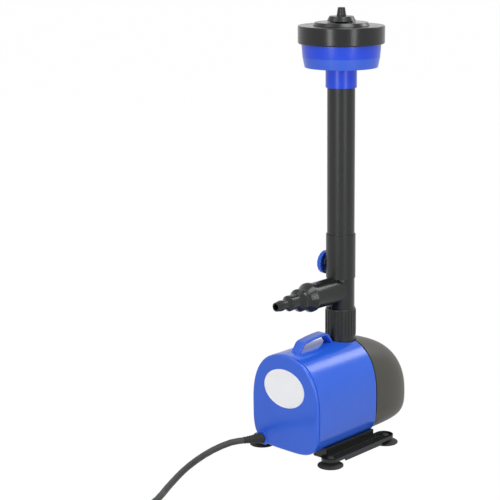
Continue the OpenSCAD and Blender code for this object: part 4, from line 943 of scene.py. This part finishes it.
# %% Finishes of the inner pieces
def striped(name, colour, dark, across, pitch, metallic, roughness, relief=0.0001):
    """Fine parallel lines, such as laminations, wound wire or a brushed face."""
    f = Finish(name, Metallic=metallic)
    line = (f.axis(across) * (2 * pi / pitch)).sine().smooth(-0.9, 0.9)
    cloud = f.noise(40.0, 3.0)
    return f.show(Base_Color=f.mix(line * 0.6 + 0.3 * cloud, dark, colour),
                  Roughness=roughness + 0.15 * cloud, Normal=f.relief(line, relief))


core_steel = striped("core_steel", (150, 152, 154), (84, 86, 88), "Y", 0.0005, 0.9, 0.35)
copper_wire = striped("copper_wire", (190, 104, 62), (112, 52, 30), "Z", 0.0006, 0.85, 0.30)
motor_resin = glossy_plastic("motor_resin", (34, 30, 26), (62, 54, 44), roughness=0.22, peel=0.0002)
bobbin_plastic = satin_plastic("bobbin_plastic", (216, 212, 200), (188, 182, 168), roughness=0.45)
impeller_plastic = satin_plastic("impeller_plastic", (230, 228, 220), (205, 202, 192), roughness=0.4)
ceramic = glossy_plastic("ceramic", (236, 234, 228), (220, 217, 208), roughness=0.12, peel=0.00002)
magnet_grey = satin_plastic("magnet_grey", (56, 56, 60), (88, 88, 92), roughness=0.5)
screw_steel = striped("screw_steel", (196, 198, 200), (150, 152, 156), "Z", 0.0004, 1.0, 0.24, 0.00003)


def label_paper():
    """Bare coated paper: a faint fibre, a slight cloud in its white and a soft gloss."""
    f = Finish("label_paper", IOR=1.45)
    fibre = f.noise(1300.0, 3.0, 0.7)
    cloud = f.noise(30.0, 2.0)
    body = f.mix(cloud.smooth(0.35, 0.7) * 0.6, (240, 241, 243), (232, 233, 236))
    return f.show(Base_Color=f.mix(fibre * 0.15, body, (224, 225, 230)), Roughness=0.36 + 0.1 * fibre,
                  Normal=f.relief(fibre, 0.00002))


def repaint(material, *nodes):
    """Gives exact pieces a finish of this lesson."""
    for node in nodes:
        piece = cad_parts[node]
        for place in range(max(1, len(piece.material_slots))):
            if piece.material_slots:
                piece.material_slots[place].material = material
            else:
                piece.data.materials.append(material)
    print(material.name, "on", ", ".join(nodes))


repaint(label_paper(), "label")
repaint(core_steel, "stator_core")
repaint(copper_wire, "windings")
repaint(motor_resin, "potting")
repaint(bobbin_plastic, "bobbins")
repaint(impeller_plastic, "impeller")
repaint(ceramic, "shaft")
repaint(magnet_grey, "rotor_magnet")
repaint(screw_steel, "chamber_screws", "knob_screw")
repaint(grey_plastic, "valve_vane")
repaint(black_plastic, "rotor_can", "pump_chamber", "chamber_lid")
repaint(black_rubber, "front_bush", "rear_bush", "chamber_seal", "branch_seal", "tail_seal", "sleeve_seal",
        "riser_seal", "cap_seal")

# %% [markdown]
# The picture was taken in a white studio: the floor and the backdrop burn out to white, and only a faint
# shadow is left under the pump. One flat sheet makes both. To the camera and in reflections it mixes an even
# white glow with its own shading, so a trace of the shadow stays and the rest is white.

# %% Floor
FLOOR_HALF, FLOOR_Z = 20.0, -0.0002
FLOOR_SHADE, FLOOR_ROUGHNESS, GLOW, GLOW_SHARE = 0.68, 0.9, 1.02, 0.97


def seen_directly(tree):
    """1 for rays from the camera and in reflections, 0 for all other rays."""
    path = tree.nodes.new("ShaderNodeLightPath")
    either = tree.nodes.new("ShaderNodeMath")
    either.operation = "MAXIMUM"
    tree.links.new(path.outputs["Is Camera Ray"], either.inputs[0])
    tree.links.new(path.outputs["Is Glossy Ray"], either.inputs[1])
    return either.outputs[0]


def studio_white():
    f = Finish("studio_white", Base_Color=(FLOOR_SHADE, FLOOR_SHADE, FLOOR_SHADE, 1),
               Roughness=FLOOR_ROUGHNESS)
    share = Flow(f, seen_directly(f.tree)) * GLOW_SHARE
    glow = f.node("ShaderNodeEmission", {}, Strength=GLOW)
    blend = f.node("ShaderNodeMixShader", {}, share, Flow(f, f.shader.outputs[0]), glow)
    f.tree.links.new(blend.socket, f.tree.nodes["Material Output"].inputs["Surface"])
    return f.material


clear_selection()
bpy.ops.mesh.primitive_plane_add(size=2 * FLOOR_HALF, location=(0, 0, FLOOR_Z))
floor = bpy.context.object
floor.name = "studio_floor"
floor.data.materials.append(studio_white())
bpy.ops.object.transform_apply()
print("floor", 2 * FLOOR_HALF, "m wide")

# %% [markdown]
# Soft light keeps the studio look. A sheet of light above brightens the crown and the cap, a broad lamp high
# in front fills the label's side, and a small sheet behind lifts the rear. Two tall strips, one on each side
# of the camera, give the tubes their upright highlights. The world is full white in reflections and dim
# otherwise, so the plastic mirrors a white room and still keeps its shading.

# %% Lights
def add_light(name, place, height, size, power, tall=None):
    """An area lamp that looks at a height of the frame's upright axis, in metres."""
    clear_selection()
    bpy.ops.object.light_add(type="AREA", location=place)
    lamp = bpy.context.object
    lamp.name = name
    lamp.data.energy = power
    lamp.data.shape = "RECTANGLE"
    lamp.data.size, lamp.data.size_y = size, tall or size
    way = Vector((0, 0, height)) - Vector(place)
    lamp.rotation_euler = way.to_track_quat("-Z", "Y").to_euler()


add_light("front_soft", (-0.7, -1.5, 1.9), 0.15, 1.1, 8.0)
add_light("left_strip", (0.30, -1.60, 0.60), 0.30, 0.28, 11.0, 1.4)
add_light("right_strip", (1.55, -0.46, 0.60), 0.30, 0.22, 8.5, 1.4)
add_light("top_sheet", (0.6, -0.1, 1.9), 0.1, 0.9, 20.0)
add_light("rear_sheet", (0.45, 1.45, 1.3), 0.15, 0.6, 6.0)
ROOM_DIM, ROOM_WHITE = 0.22, 1.0
world = bpy.data.worlds.new("room")
bpy.context.scene.world = world
world.use_nodes = True
sky = world.node_tree
air = sky.nodes["Background"]
air.inputs["Color"].default_value = (1, 1, 1, 1)
strength = sky.nodes.new("ShaderNodeMapRange")
strength.inputs["To Min"].default_value = ROOM_DIM
strength.inputs["To Max"].default_value = ROOM_WHITE
sky.links.new(seen_directly(sky), strength.inputs["Value"])
sky.links.new(strength.outputs[0], air.inputs["Strength"])
